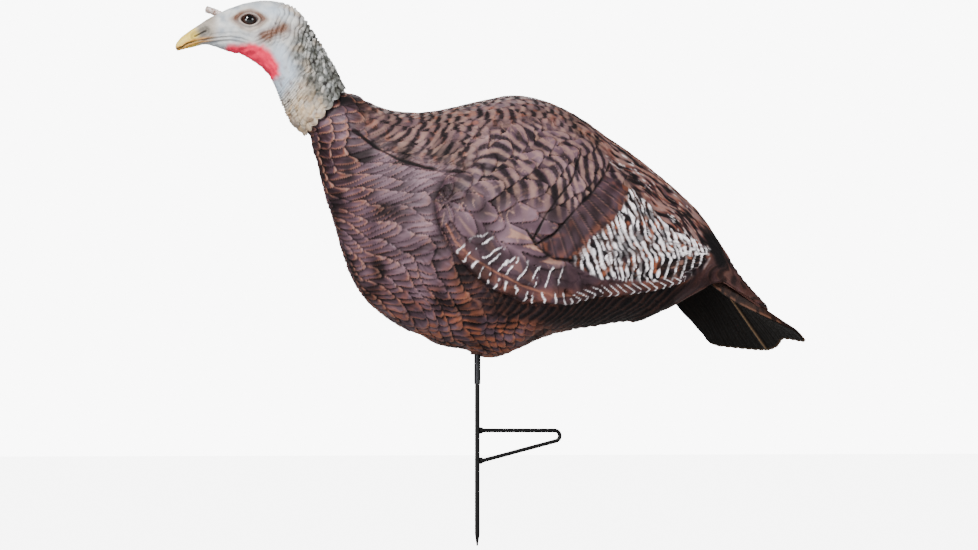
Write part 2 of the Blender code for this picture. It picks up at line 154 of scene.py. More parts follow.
def lineDistance(x, z, points):
    # distance to a run of straight pieces, and how far along it the nearest place is
    best, along, walked = np.full(x.shape, 1e9), np.zeros(x.shape), 0.0
    for (ax, az), (bx, bz) in zip(points, points[1:]):
        length = math.hypot(bx - ax, bz - az)
        t = np.clip(((x - ax) * (bx - ax) + (z - az) * (bz - az)) / length ** 2, 0, 1)
        gap = np.hypot(x - ax - t * (bx - ax), z - az - t * (bz - az))
        nearer = gap < best
        best, along = np.where(nearer, gap, best), np.where(nearer, walked + t * length, along)
        walked += length
    return best, along


def insideBy(x, z, points):  # distance inside a closed outline, negative outside
    inside = np.zeros(x.shape, bool)
    closed = points + points[:1]
    for (ax, az), (bx, bz) in zip(closed, closed[1:]):
        crosses = (az > z) != (bz > z)
        inside ^= crosses & (x < (bx - ax) * (z - az) / (bz - az + 1e-9) + ax)
    gap = lineDistance(x, z, closed)[0]
    return np.where(inside, gap, -gap)


def gridMesh(name, points, normals=None, masks=None, ringed=False, flip=False):
    # a mesh of quads over a grid of points in mm; ringed joins the last column to the first
    rows, cols = points.shape[:2]
    mesh = bpy.data.meshes.new(name)
    index = np.arange(rows * cols).reshape(rows, cols)
    beside = np.roll(index, -1, axis=1) if ringed else index[:, 1:]
    here = index if ringed else index[:, :-1]
    quads = np.stack([here[:-1], beside[:-1], beside[1:], here[1:]], axis=-1).reshape(-1, 4)
    if flip:
        quads = quads[:, ::-1]
    mesh.vertices.add(rows * cols)
    mesh.vertices.foreach_set("co", (points * mm).astype(np.float32).ravel())
    mesh.loops.add(quads.size)
    mesh.loops.foreach_set("vertex_index", quads.astype(np.int32).ravel())
    mesh.polygons.add(len(quads))
    mesh.polygons.foreach_set("loop_start", np.arange(0, quads.size, 4, dtype=np.int32))
    mesh.update(calc_edges=True)
    mesh.shade_smooth()
    for key, value in (masks or {}).items():
        attribute = mesh.attributes.new(key, "FLOAT", "POINT")
        attribute.data.foreach_set("value", np.clip(value, 0, 1).astype(np.float32).ravel())
    if normals is not None:
        mesh.normals_split_custom_set_from_vertices(normals.reshape(-1, 3).astype(np.float32))
    piece = bpy.data.objects.new(name, mesh)
    bpy.context.collection.objects.link(piece)
    return piece


def gridNormals(points, ringed=False):  # unit normals of a grid, down the rows crossed with along the columns
    down = np.gradient(points, axis=0)
    if ringed:
        across = (np.roll(points, -1, axis=1) - np.roll(points, 1, axis=1)) / 2
    else:
        across = np.gradient(points, axis=1)
    normal = np.cross(across, down)
    return normal / np.maximum(np.linalg.norm(normal, axis=2, keepdims=True), 1e-12)


def featherRows(row, across, widthOf, length=2.2, roundness=0.5):
    # Roof-tile feathers. row counts feather rows down the body, across is the distance sideways and
    # widthOf(k) the feather width in row k. The feather nearest the head that still covers a point is on top.
    # Gives rim: rows left to the feather's rim, under: rows past the rim of the feather in front,
    # side: -1 to 1 across it, share: 0 to 1 down it, and ident: a random number for each feather.
    base = np.floor(row)
    out = dict(under=np.full(row.shape, 9.0))
    for step in (0, 1, 2):
        k = base - step
        shifted = across / widthOf(k) - 0.5 * np.mod(k, 2)
        col = np.round(shifted)
        side = (shifted - col) * 2
        reach = length * (1 - roundness * side ** 2) * (0.87 + 0.26 * scatter(k, col, 5))
        left = reach - (row - k)
        fresh = dict(rim=left, side=side, share=(row - k) / reach, ident=scatter(k, col))
        if step == 0:
            out.update(fresh)
            continue
        out["under"] = np.where(left > 0, 9.0, np.minimum(out["under"], -left))
        for key, value in fresh.items():
            out[key] = np.where(left > 0, value, out[key])
    return out


body = {  # lengths in mm; along counts down the sloping axis, back and belly are heights off it
    "neckCentre": (-194, 0, 386),  # where the axis starts
    "slant": 38,  # degrees that the axis slopes down to the tail
    "along": [-6, 7, 14, 30, 65, 100, 135, 165, 200, 245, 268, 290, 317, 350, 362, 381, 401, 435, 455, 470,
              483, 494, 530, 566],
    "back": [33, 33.4, 37, 40, 53, 82, 127, 165, 188, 201, 204, 206, 209, 212, 212, 212.5, 212, 210, 206, 201,
             196, 191, 177, 165],
    "belly": [-33, -33.4, -38.5, -48, -75, -98, -122, -138, -144, -139, -131, -127, -111, -97, -76, -41, -14,
              24, 46, 58, 84, 104, 105, 109],
    "halfWidth": [33, 33.4, 37, 42, 56, 73, 89, 100, 109, 116, 118, 119, 119, 117, 116, 113, 110, 103, 97, 93,
                  88, 84, 90, 103],
    "rimAngle": [0, 40, 76, 86, 98, 120, 150, 180],  # degrees from the back line
    "rimAlong": [556, 560, 564, 536, 510, 496, 483, 490],
    "rows": 450,  # about 1.25 mm apart, fine enough for a feather's rim
    "columns": 300,  # on each side
    "skin": 1.5,  # mm that the feathers' feet stand off the shell
    "pieces": ("neckAndBreastPlumage", "wingAndSaddlePlumage", "rumpPlumage"),
}

marks = {  # mm from one feather mark to the next, where nothing else is said
    "throat": (-222, 0, 418),  # mm, the middle of the breast's feather rings
    "breastRows": 10.8,  # at the throat
    "breastNarrowing": -0.008,  # change of the row pitch per mm away from the throat
    "breastWidth": 2.15,  # times the row pitch
    "saddleRows": 17, "saddleWidth": 19, "saddleBars": 13.0,
    "covertRows": 21, "covertWidth": 19, "covertBars": 14.5,
    "combFeathers": 11, "whiteBars": 8.2, "tipRays": 11,
    "lowerDashes": 12.6, "upperDashes": 14.5, "chevrons": 10.4, "flankFolds": 11,
    "chevronStart": 292,  # mm along the wing's front edge
}

grooves = {"mainGroove": (2.4, 1.3), "covertGroove": (1.4, 1.0), "lowGroove": (2.0, 1.3),
           "shoulderGroove": (1.9, 1.4)}  # mm deep and half width

wing = {  # outlines on the bird's side, x and z in mm
    "centre": (-70, 268),  # the shoulder, which the covert rows are rings about
    "frontEdge": [(-48, 322), (-64, 305), (-74, 289), (-83, 269), (-80, 251), (-74, 230), (-52, 200), (-34, 182),
                  (-9, 166), (32, 152), (82, 152), (116, 163), (150, 166), (192, 172), (233, 183), (262, 199),
                  (292, 214)],
    "topEdge": [(276, 236), (260, 250), (215, 300), (165, 340), (110, 368), (50, 385), (-20, 370)],
    "proud": 4.5,  # mm that the wing stands off the flank
    "goldLine": [(-70, 242), (-59, 222), (-41, 205), (-11, 188), (20, 174), (63, 162), (100, 166)],
    "mainGroove": [(152, 343), (138, 322), (121, 300), (104, 281), (84, 263), (55, 232), (33, 219)],
    "covertGroove": [(100, 338), (91, 318), (80, 296), (66, 280), (46, 255), (30, 226)],
    "lowGroove": [(22, 236), (36, 216), (56, 204), (82, 202)],
    "shoulderGroove": [(-168, 356), (-145, 335), (-119, 319), (-92, 309), (-64, 305), (-48, 304)],
    "comb": [(33, 219), (55, 232), (84, 263), (104, 281), (124, 306), (158, 292), (139, 258), (112, 236), (82, 204),
             (56, 202)],
    "combCentre": (12, 361),
    "barred": [(158, 292), (139, 258), (112, 236), (78, 206), (84, 196), (108, 186), (160, 184), (215, 188),
               (250, 201), (272, 222), (252, 234), (212, 244), (182, 274)],
    "tip": (292, 218),
}


def sloping():  # unit vectors along the loft's axis, down to the tail, and square to it, upwards
    slant = math.radians(body["slant"])
    return np.array((math.cos(slant), 0, -math.sin(slant))), np.array((math.sin(slant), 0, math.cos(slant)))


def slopingPoints(along, up, side):  # P = start + along*axis + up*across + side*Y
    axis, across = sloping()
    points = np.array(body["neckCentre"]) + along[..., None] * axis + up[..., None] * across
    points[..., 1] += side
    return points


def bodyGrid():
    # rings of half ellipses, up and sideways, through the back line, the belly line and the half width
    angle = np.linspace(0, math.pi, body["columns"] + 1)
    share = np.linspace(0, 1, body["rows"] + 1)[:, None]
    rim = curveThrough(np.degrees(angle), body["rimAngle"], body["rimAlong"])
    along = body["along"][0] + share * (rim - body["along"][0])
    back, belly, width = (curveThrough(along, body["along"], body[key]) for key in ("back", "belly", "halfWidth"))
    up = (back + belly) / 2 + (back - belly) / 2 * np.cos(angle)
    return slopingPoints(along, up, -width * np.sin(angle)), along, np.broadcast_to(angle, along.shape)


def mirrored(half, isPoint=False):  # a half grid from back line to belly line made a full ring
    other = half[:, -2:0:-1].copy()
    if isPoint:
        other[..., 1] *= -1
    return np.concatenate([half, other], axis=1)


def sidewaysLength(points, normal, pull):
    # length walked round the body at right angles to the way the feathers point, counted from the back line
    way = np.cross(normal, pull)
    way /= np.maximum(np.linalg.norm(way, axis=2, keepdims=True), 1e-9)
    step = np.gradient(points, axis=1)
    return np.abs(np.cumsum((step * way).sum(axis=2), axis=1))


def paintOver(paint, mask, **values):  # blends new values into the paint masks
    for key, value in values.items():
        paint[key] = paint[key] * (1 - mask) + value * mask


def plumageHalf(sideNumber):
    # heights and paint masks over one side; the other side has its own variation in placing and colour
    def noise(at, size, seed=0):
        return cloud(at, size, seed + 61 * sideNumber)

    points, along, angle = bodyGrid()
    normal = gridNormals(points)
    x, z = points[..., 0], points[..., 2]
    warp = (noise(points, 38, 1) - 0.5) * 9 + (noise(points, 14, 2) - 0.5) * 3
    fine, soft = noise(points, 5, 3), noise(points, 22, 4)
    paint = {key: np.zeros(x.shape) for key in ("tone", "copper", "tan", "dark", "white")}

    # feathers of neck, breast, flank and belly: rings about the throat that come closer together towards the belly
    pull = points - np.array(marks["throat"], float)
    far = np.linalg.norm(pull, axis=2) + warp + 9 * (noise(points, 60, 22) - 0.5)
    widen = marks["breastNarrowing"]
    pitch = marks["breastRows"] + widen * far
    row = np.log(pitch) / widen
    sideways = sidewaysLength(points, normal, pull) + (noise(points, 34, 5) - 0.5) * 26
    row = row + 0.9 * (noise(points, 21, 36) - 0.5)
    scale = featherRows(row, sideways, lambda k: marks["breastWidth"] * np.exp(k * widen), 2.0, 0.55)
    rimGap = scale["rim"] * pitch + 2.6 * (fine - 0.5)
    barb = noise(flat2(sideways, far / 5), 1.7, 37)
    low = ease(235, 120, z - 0.25 * x)
    front = ease(-110, -165, x)
    quiet = bell(np.hypot(x + 100, z - 285) / 60, 1.0)  # soft grey feathers in front of the shoulder
    height = (2.6 - 1.4 * quiet) * (scale["share"] - 0.5) * ease(0, 2.2, rimGap)
    height += 0.4 * (scale["ident"] - 0.5) + 2.4 * (noise(points, 17, 23) - 0.5) + 0.35 * (barb - 0.5)
    rimOn = ease(0.25, 0.6, noise(points, 11, 24)) * ease(0.2, 0.55, fine + 0.25)
    paint["tone"] = 0.44 + 0.6 * (soft - 0.5) + 0.16 * (scale["ident"] - 0.5) + 0.07 * low + 0.05 * front
    # painted shade: tone falls towards each feather's base, where the feather in front would shade it
    paint["tone"] += 0.35 * (scale["share"] - 0.5) + 0.22 * (barb - 0.5) - 0.16 * ease(95, 25, along)
    paint["copper"] = rimOn * bell(rimGap - 1.6, 1.7) * (0.32 + 0.6 * low + 0.45 * front) * (1 - 0.8 * quiet)
    paint["copper"] += 0.85 * low * ease(0.40, 0.7, noise(points, 10, 6)) * ease(0.3, 0.7, scale["share"])
    paint["tan"] = rimOn * bell(rimGap - 1.0, 0.9) * (0.45 + 0.25 * front) * (1 - 0.5 * quiet)
    # dark here: a painted shadow in a band just past the rim of the feather in front, dark cloudy patches of the paint,
    # and painted shade towards the base of some feathers
    paint["dark"] = (0.85 - 0.5 * quiet) * bell(scale["under"] * pitch, 2.0) + 0.5 * ease(0.42, 0.15, soft)
    paint["dark"] += 0.25 * ease(0.5, 0.2, scale["ident"]) * ease(0.8, 0.3, scale["share"])

    # saddle: barred feathers over the back, the bars out of step from feather to feather
    upper = ease(96, 70, np.degrees(angle)) * ease(20, 60, along)
    pitch = marks["saddleRows"]
    plume = featherRows((far + 200) / pitch, sideways, lambda k: marks["saddleWidth"] + 0 * k, 2.0, 0.5)
    barWave = np.sin(2 * math.pi * (far / marks["saddleBars"] + 0.75 * plume["ident"] + 0.2 * plume["side"] ** 2))
    gaps = ease(0.25, 0.5, noise(points, 8, 7))
    # the bars are dark paint; the band just past the rim of the feather in front is a painted shadow
    paintOver(paint, upper * 0.9, tone=0.5 * soft + 0.2, copper=0.5 * ease(0.6, 0.8, noise(points, 7, 25)),
              tan=(0.10 + 0.42 * ease(-0.2, 0.8, barWave) * (0.4 + 0.8 * fine)) * (0.5 + plume["ident"]),
              dark=np.maximum(ease(0.1, 0.5, -barWave) * gaps, 0.5 * bell(plume["under"] * pitch, 1.4)))
    plumeHeight = 1.8 * (plume["share"] - 0.5) * ease(0, 1.3, plume["rim"] * pitch) + 0.6 * (soft - 0.5)
    height = height * (1 - upper) + upper * plumeHeight

    # wing: it stands proud of the flank along its front and lower edge and runs into the back above
    outline = wing["frontEdge"] + wing["topEdge"]
    within = insideBy(x, z, outline)
    edgeGap, edgeRun = lineDistance(x, z, wing["frontEdge"])
    topGap = lineDistance(x, z, wing["frontEdge"][-1:] + wing["topEdge"] + wing["frontEdge"][:1])[0]
    onSide = ease(18, 30, np.degrees(angle))
    wingOn = ease(-0.5, 0.8, within) * onSide
    step = wingOn * ease(-0.5, 3.5, within) * ease(0, 45, topGap) * wing["proud"]
    ditch = bell(np.minimum(within, 0), 5) * bell(edgeGap, 7) * (1 - wingOn) * ease(10, 40, topGap)
    height = height + step - 1.2 * ditch
    # painted shadow: the flank just below the wing's proud edge is painted dark
    paint["dark"] = np.maximum(paint["dark"], 0.75 * ditch)

    # coverts: big feathers about the shoulder, soft grey near it and boldly barred above
    cx, cz = wing["centre"]
    radius = np.hypot(x - cx, z - cz) + warp * 1.3 + 26 * (noise(points, 48, 26) - 0.5)
    turn = np.arctan2(z - cz, x - cx)
    pitch = marks["covertRows"]
    covert = featherRows(radius / pitch, turn * 100 + warp * 1.5,
                         lambda k: 2500 / (marks["covertWidth"] * np.maximum(k + 1.5, 1.5)), 2.1, 0.5)
    covertRim = covert["rim"] * pitch
    ring = np.sin(2 * math.pi * (radius / marks["covertBars"] + 0.9 * covert["ident"] + 0.25 * covert["side"]))
    block = ease(0.28, 0.42, noise(flat2(radius / 2, turn * 60), 5.0, 8))
    high = ease(245, 300, z + 0.25 * x)
    spread = np.abs(covert["side"])
    triangle = ease(0.52, 0.6, covert["share"]) * ease(0, 0.08, 0.99 - 0.8 * spread - covert["share"])
    warmTip = triangle * ease(0.36, 0.42, covert["ident"]) * (1 - high) * ease(62, 80, radius) * ease(150, 135, radius)
    # painted shade: tone falls towards each covert's base and a painted shadow lies just past the rim of the covert in
    # front; the bars and blotches are dark paint
    paintOver(paint, wingOn * ease(0, 24, within),
              tone=0.42 + 0.5 * (soft - 0.45) + 0.45 * (covert["share"] - 0.5) + 0.25 * (covert["ident"] - 0.5),
              dark=np.maximum(high * 0.85 * ease(0.1, 0.45, -ring) * block, 0.7 * bell(covert["under"] * pitch, 2.2)
                              + 0.55 * (1 - high) * ease(0.55, 0.8, noise(points, 19, 27))),
              tan=high * 0.6 * ease(0.1, 0.7, ring) * (0.3 + 0.9 * fine) + 0.9 * warmTip,
              copper=0.75 * warmTip + 0.45 * bell(covertRim - 0.8, 1.0) * ease(0.4, 0.6, fine) * ease(0.4, 0.6, soft))
    height = height * (1 - wingOn) + wingOn * (
        step + 3.0 * (covert["share"] - 0.5) * ease(0, 1.5, covertRim) + (covert["ident"] - 0.5)
        + 1.5 * (noise(points, 13, 28) - 0.5))

    # scratchy pale feather shafts and hairlines over the shoulder
    shaft = wingOn * bell(covert["side"], 0.09) * ease(0.4, 0.6, covert["share"]) * ease(0.35, 0.5, covert["ident"])
    hairline = bell(noise(flat2(x * 0.30 - z * 0.10, z * 0.5 + x * 0.9), 6, 29) - 0.5, 0.018)
    scratch = wingOn * hairline * ease(0.45, 0.6, soft)
    paint["tan"] = np.maximum(paint["tan"], np.maximum(0.45 * shaft, 0.7 * scratch))

    # secondaries: a comb of stiff feathers that fan out from above
    sx, sz = wing["combCentre"]
    toEnd = insideBy(x, z, wing["comb"])
    combOn = ease(-1, 1, toEnd) * onSide
    combTurn = np.arctan2(z - sz, x - sx) * 128 / marks["combFeathers"] + 0.02 * warp
    tooth = np.mod(combTurn, 1)
    combNumber = np.floor(combTurn)
    combFar = np.hypot(x - sx, z - sz)
    rusty = ease(14, 3, toEnd) * ease(118, 150, combFar) * ease(0.4, 0.7, fine)
    uneven = 0.22 * scatter(combNumber, combNumber * 0) + 0.3 * (noise(points, 9, 30) - 0.5)
    paintOver(paint, combOn, tone=0.26 + uneven,
              dark=0.75 * bell(tooth - 0.08, 0.07) + 0.15, tan=0.28 * bell(tooth - 0.96, 0.07) * fine,
              copper=0.12 * bell(tooth - 0.94, 0.07) + 0.42 * rusty, white=0)
    height = height * (1 - combOn) + combOn * (step + 1.3 * (1 - tooth) * ease(0, 0.10, tooth) - 0.3)

    # barred flight feathers: white bars across strands that run to the wing's tip
    tx, tz = wing["tip"]
    tipFar, tipTurn = np.hypot(x - tx, z - tz), np.arctan2(z - tz, x - tx)
    barredIn = insideBy(x, z, wing["barred"]) + 5 * (noise(points, 8, 9) - 0.5)
    barredOn = ease(-2, 3, barredIn) * onSide
    strandPart = np.mod(tipTurn * 12 + 1.2 * (noise(points, 20, 10) - 0.5), 1)
    lean = 0.42  # how far the bars lean from upright
    barPhase = (x + lean * (z - 200)) / marks["whiteBars"]
    barPhase += 1.5 * (noise(points, 24, 11) - 0.5) + 0.7 * (noise(points, 7, 12) - 0.5)
    barLine = np.sin(2 * math.pi * barPhase)
    streaky = barLine + 1.3 * (noise(flat2(x + lean * z, (z - lean * x) / 3.5), 4.2, 21) - 0.42)
    speckled = 2.2 * (noise(flat2(tipFar / 2.6, tipTurn * 42), 2.6, 31) - 0.36) + 0.5 * barLine
    nearTip = ease(118, 70, tipFar + 0.2 * (z - 215))
    rayed = np.sin(2 * math.pi * (x - 0.25 * z) / marks["tipRays"]) - 0.72
    lowTip = ease(215, 205, z - 0.10 * (x - 230)) * nearTip
    ground = streaky * (1 - nearTip) + speckled * nearTip
    ground = ground * (1 - lowTip) + 2.2 * rayed * lowTip
    strokes = ease(0.34, 0.52, noise(flat2((x + lean * z) * 1.6, (z - lean * x) / 3), 3.8, 13) + 0.15 * nearTip)
    split = ease(0.22, 0.42, noise(flat2(tipTurn * 46, tipFar / 14), 1.6, 40) + 0.1 * noise(points, 4, 41))
    snow = ease(-0.15, 0.5, ground) * (0.12 + 0.88 * strokes) * (0.35 + 0.65 * split)
    paintOver(paint, barredOn, white=snow * (0.74 + 0.25 * soft), tone=0.2,
              dark=0.9 * (1 - snow) * ease(0.40, 0.58, noise(points, 6, 32) + 0.12),
              copper=0.8 * ease(0.45, 0.66, noise(points, 8, 14)) * (1 - snow), tan=0.35 * (1 - split) * (1 - snow))
    height = height * (1 - barredOn) + barredOn * (step + 1.7 * snow + 0.9 * strandPart - 0.6)

    # two rows of white dashes along the wing's lower edge, which turn to chevrons under the barred part
    rowOn = wingOn * ease(118, 140, edgeRun)
    lowGap = np.where(within > 0, edgeGap, 0)
    wobble = 0.42 * (noise(points, 9, 15) - 0.5) + 0.25 * (noise(points, 4, 33) - 0.5)
    chevron = ease(284, 300, edgeRun)
    slid, turnAt = edgeRun + 0.3 * lowGap, marks["chevronStart"]
    beat = np.minimum(slid, turnAt) / marks["lowerDashes"] + np.maximum(slid - turnAt, 0) / marks["chevrons"]
    beat = beat + wobble * (1 - 0.75 * chevron) + chevron * 1.2 * np.abs(lowGap - 5.5) / 9
    upBeat = (edgeRun - 0.2 * lowGap) / marks["upperDashes"] + wobble
    lowDash = bell(np.mod(beat, 1) - 0.5, 0.062) * ease(0.5, 2.5, lowGap) * ease(15.5, 12, lowGap)
    upDash = bell(np.mod(upBeat, 1) - 0.5, 0.045) * ease(19, 22, lowGap) * ease(46, 38, lowGap) * ease(
        118, 140, edgeRun) * ease(285, 262, edgeRun)
    dashOn = rowOn * (1 - barredOn) * (1 - combOn)
    dash = dashOn * np.maximum(lowDash, upDash) * ease(0.22, 0.4, noise(points, 7, 16))
    paintOver(paint, dashOn * ease(50, 38, lowGap) * 0.85, tone=0.38, tan=0,
              dark=0.55 * ease(0.4, 0.65, noise(points, 14, 34)) + 0.3 * ease(8, 2, lowGap),
              copper=0.3 * ease(0.5, 0.75, noise(points, 13, 17)) * ease(24, 14, lowGap) + 0.12 * bell(lowGap - 13, 5))
    paint["white"] = np.maximum(paint["white"], 1.1 * dash)
    height = height + 1.3 * dash

    # gold moulding line between the rows, and the grooves between feather groups with painted shade in them
    gold = bell(lineDistance(x, z, wing["goldLine"])[0], 1.0) * wingOn
    paint["copper"] = np.maximum(paint["copper"], gold * 0.75)
    paint["tan"] = np.maximum(paint["tan"], gold * 0.25)
    height = height + 0.6 * gold
    for key, (deep, wide) in grooves.items():
        grooveGap = lineDistance(x, z, wing[key])[0] + 1.8 * (noise(points, 10, 38) - 0.5)
        crease = bell(grooveGap, wide) * onSide * ease(0.15, 0.55, noise(points, 16, 39) + 0.12)
        height = height - deep * crease
        # painted shade: each crease is painted dark
        paintOver(paint, 0.9 * crease, dark=1, tan=0, copper=0, white=0, tone=0)

    # rump: long fine strands that follow the back line, brown and tan with dark gaps
    edgeLine = wing["frontEdge"][3:]
    underWing = ease(-1, 4, np.interp(x, [p[0] for p in edgeLine], [p[1] for p in edgeLine]) - z) * ease(-84, -78, x)
    rumpOn = ease(148, 176, x + 0.7 * (z - 300) + 14 * (soft - 0.5)) * (1 - barredOn) * (1 - combOn) * (1 - underWing)
    rumpOn = rumpOn * np.maximum(ease(300, 285, x), ease(210, 218, z))
    lane = sideways + 4 * (noise(points, 30, 18) - 0.5)
    strandy = noise(flat2(along / 8, lane), 2.0, 19)
    streak = noise(flat2(along / 4, lane / 1.3), 3.0, 20)
    fleck = ease(0.62, 0.78, noise(flat2(along / 3, lane), 1.7, 35))
    rusty = ease(0.42, 0.7, strandy) * ease(0.3, 0.6, streak + 0.1)
    paintOver(paint, rumpOn, tone=0.10 + 0.6 * streak, copper=0.5 * rusty,
              white=0.45 * fleck * ease(0.5, 0.7, soft), tan=np.maximum(0.9 * fleck, 0.45 * ease(0.55, 0.75, streak)),
              dark=0.95 * ease(0.52, 0.34, strandy * 0.6 + streak * 0.4))
    height = height * (1 - rumpOn) + rumpOn * (1.5 * strandy + 0.9 * streak - 0.2)

    # flank below the wing, dark with slanting grooves, and the skirt over the tail's root
    below = underWing * ease(-50, 30, x + 0.4 * (z - 130)) * ease(126, 142, z + 0.06 * x + 16 * (soft - 0.5))
    flankLine = np.sin(2 * math.pi * (x - 0.9 * z + warp * 1.6) / marks["flankFolds"])
    paintOver(paint, 0.92 * below, tone=0.05 + 0.12 * soft, dark=0.62 + 0.35 * ease(0, 0.9, flankLine),
              copper=0.16 * ease(0.3, 1, -flankLine), tan=0.08 * ease(0.6, 1, -flankLine))
    height = height * (1 - 0.7 * below) + 0.5 * below * flankLine
    rust = underWing * (1 - below) * ease(20, 60, x)
    paintOver(paint, 0.7 * rust, tone=0.15, copper=0.5 * ease(0.4, 0.65, soft), dark=0.6 * ease(0.6, 0.4, soft), tan=0)
    rootOn = ease(462, 476, along) * (1 - ease(4, 12, z - 236 + 0.9 * (x - 262)))
    paintOver(paint, rootOn * 0.95, tone=0.12 + 0.3 * streak, copper=0.3 * strandy, white=0, tan=0.1 * fleck,
              dark=0.45 + 0.4 * ease(0.5, 0.35, streak))
    blackOn = ease(266, 276, x + 0.5 * (z - 225)) * ease(304, 290, x) * ease(196, 208, z) * ease(256, 240, z)
    paintOver(paint, blackOn, dark=1, tone=0, copper=0, white=0, tan=0)
    height = height * (1 - 0.6 * rootOn) + rootOn * 0.9 * strandy

    # parting line of the mould: a thin pale flange along the belly towards the tail
    flange = bell((math.pi - angle) * 105, 1.3) * ease(40, 70, x) * ease(240, 215, x)
    height = height + 1.6 * flange
    paintOver(paint, flange, tan=1, dark=0, copper=0.2, tone=1)

    # the neck's end sits under the head's skirt, so it stays slim there
    slim = ease(8, 22, along)
    height = height * (0.15 + 0.85 * slim)
    height = np.maximum(np.minimum(height, 8) + body["skin"] * (0.6 + 0.4 * slim), 0.45)
    height[:3] -= np.array((2.2, 1.2, 0.4))[:, None]
    height[-2:] -= np.array((0.6, 1.6))[:, None]
    shaped = points + normal * height[..., None]
    shaped[:, (0, -1), 1] = 0
    return shaped, paint


def joined(left, right):  # two half grids, back line to belly line, made a full ring
    return np.concatenate([left, right[:, -2:0:-1]], axis=1)


def plumage():
    left, leftPaint = plumageHalf(0)
    right, rightPaint = plumageHalf(1)
    blend = ease(0, 9, np.minimum(np.arange(left.shape[1]), np.arange(left.shape[1])[::-1]))[None, :, None]
    right = left * (1 - blend) + right * blend  # the halves meet at the parting line
    ringPoints = joined(left, right * (1, -1, 1))
    ringNormals = gridNormals(ringPoints, ringed=True)
    rows = body["rows"]
    cuts = [0, rows // 3, 2 * rows // 3, rows]
    for name, first, last in zip(body["pieces"], cuts, cuts[1:]):
        part = slice(first, last + 1)
        masks = {key: joined(value[part], rightPaint[key][part]) for key, value in leftPaint.items()}
        piece = gridMesh(name, ringPoints[part], ringNormals[part], masks, ringed=True)
        piece.data.materials.append(plumagePaint())
        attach(piece, "decoy_body")


def plumagePaint():
    # airbrushed matte paint on blow-moulded plastic: dull, with a faint satin bloom on the raised rims
    name = "airbrushedPlumagePaint"
    if name in bpy.data.materials:
        return bpy.data.materials[name]
    material, tree, shader = newMaterial(name)
    place = add(tree, "ShaderNodeTexCoord").outputs["Object"]
    speckle = add(tree, "ShaderNodeTexNoise", {"Vector": place, "Scale": 420, "Detail": 3}).outputs["Fac"]  # 2 mm
    cloudy = add(tree, "ShaderNodeTexNoise", {"Vector": place, "Scale": 45, "Detail": 4}).outputs["Fac"]  # 20 mm
    tone = add(tree, "ShaderNodeAttribute", attribute_name="tone").outputs["Fac"]
    dark = add(tree, "ShaderNodeAttribute", attribute_name="dark").outputs["Fac"]
    toneShift = add(tree, "ShaderNodeMath", {0: cloudy, 1: 0.35, 2: tone}, operation="MULTIPLY_ADD").outputs[0]
    toneOut = add(tree, "ShaderNodeMath", {0: toneShift, 1: 0.17}, operation="SUBTRACT").outputs[0]
    ramp = add(tree, "ShaderNodeValToRGB", {"Fac": toneOut})
    rampStops(ramp, (0.0, "#080203"), (0.3, "#24161a"), (0.6, "#46343c"), (1.0, "#755d65"))
    # the dark layer carries dark paint and painted shadow alike
    paint = brushedOver(tree, ramp.outputs["Color"], speckle, (
        ("copper", "#7c4630", 0.7, 0.62), ("tan", "#86685c", 0.7, 0.62), ("dark", "#040203", 0.7, 0.62),
        ("white", "#f0eaee", 0.7, 0.62)))
    tree.links.new(paint, shader.inputs["Base Color"])
    satin = grainyFinish(tree, shader, speckle, (0.40, 0.60), 0.25, 0.0006)
    # the dark paint and painted shade are flatter: roughness = satin + 0.35*dark
    rough = add(tree, "ShaderNodeMath", {0: dark, 1: 0.35, 2: satin}, operation="MULTIPLY_ADD").outputs[0]
    tree.links.new(rough, shader.inputs["Roughness"])
    shader.inputs["Specular IOR Level"].default_value = 0.14
    return material


plumage()
print("plumage done")

head = {
    # back line x and z, throat line x and z, half width, in mm, from the skirt to the beak's tip
    "backX": [-171.6, -180, -190, -202, -212, -222, -236, -254, -270, -284, -297, -311, -324, -336, -348, -358,
              -367, -373],
    "backZ": [414.7, 434, 450, 468, 483, 499, 510.5, 515, 515, 512.5, 508.5, 502.5, 495.5, 488.5, 479.5, 472,
              464.5, 456.5],
    "throatX": [-216.4, -231, -240, -247, -254, -262, -271, -281, -291, -300, -309, -318, -327, -337, -347, -356,
                -364, -371],
    "throatZ": [357.3, 367, 384, 398, 414, 428, 436, 443, 447.5, 450, 451.5, 453.5, 456, 457, 455, 452.5, 450.5,
                448],
    "halfWidth": [36.4, 36, 34.5, 33, 31, 29, 27, 25.5, 24, 22.5, 20.5, 17.5, 14, 11.5, 9.5, 8, 6, 3.5],
    "rows": 400,  # about 0.8 mm apart
    "columns": 110,  # on each side
    "eye": (-290, 486.5),  # x and z in mm
    "eyeOpening": (9.8, 6.4),  # mm, half its length and height
    "mouthLine": [(-372, 449.5), (-366, 451.5), (-361, 455.5), (-353, 458.5), (-344, 461), (-326, 464), (-311, 465.2),
                  (-298, 463.5), (-284, 460)],
    "redPatch": [(-318, 450), (-312, 455), (-290, 457.5), (-274, 456), (-263, 447), (-254, 434), (-253, 424),
                 (-259, 418), (-268, 424), (-276, 436), (-290, 444)],
    "nostril": [(-352, 465.2), (-346, 468.3), (-340, 471.8)],
    "ear": (-259, 483),
    "skirtDrop": 4.6,  # mm that the scallops hang below the joint
    "scallop": 13.0, "napeFold": 5.2, "jawFold": 4.2, "throatRing": 3.6,  # mm from one to the next
    "wart": (5.8, 6.6),  # mm from one to the next, down and round the neck
    "temple": (-262, 498),  # middle of the scaly temple, x and z in mm
    "brownPatch": [(-274, 466), (-262, 472), (-250, 478)],  # behind the ear
    "brownNape": (-230, 486),
}


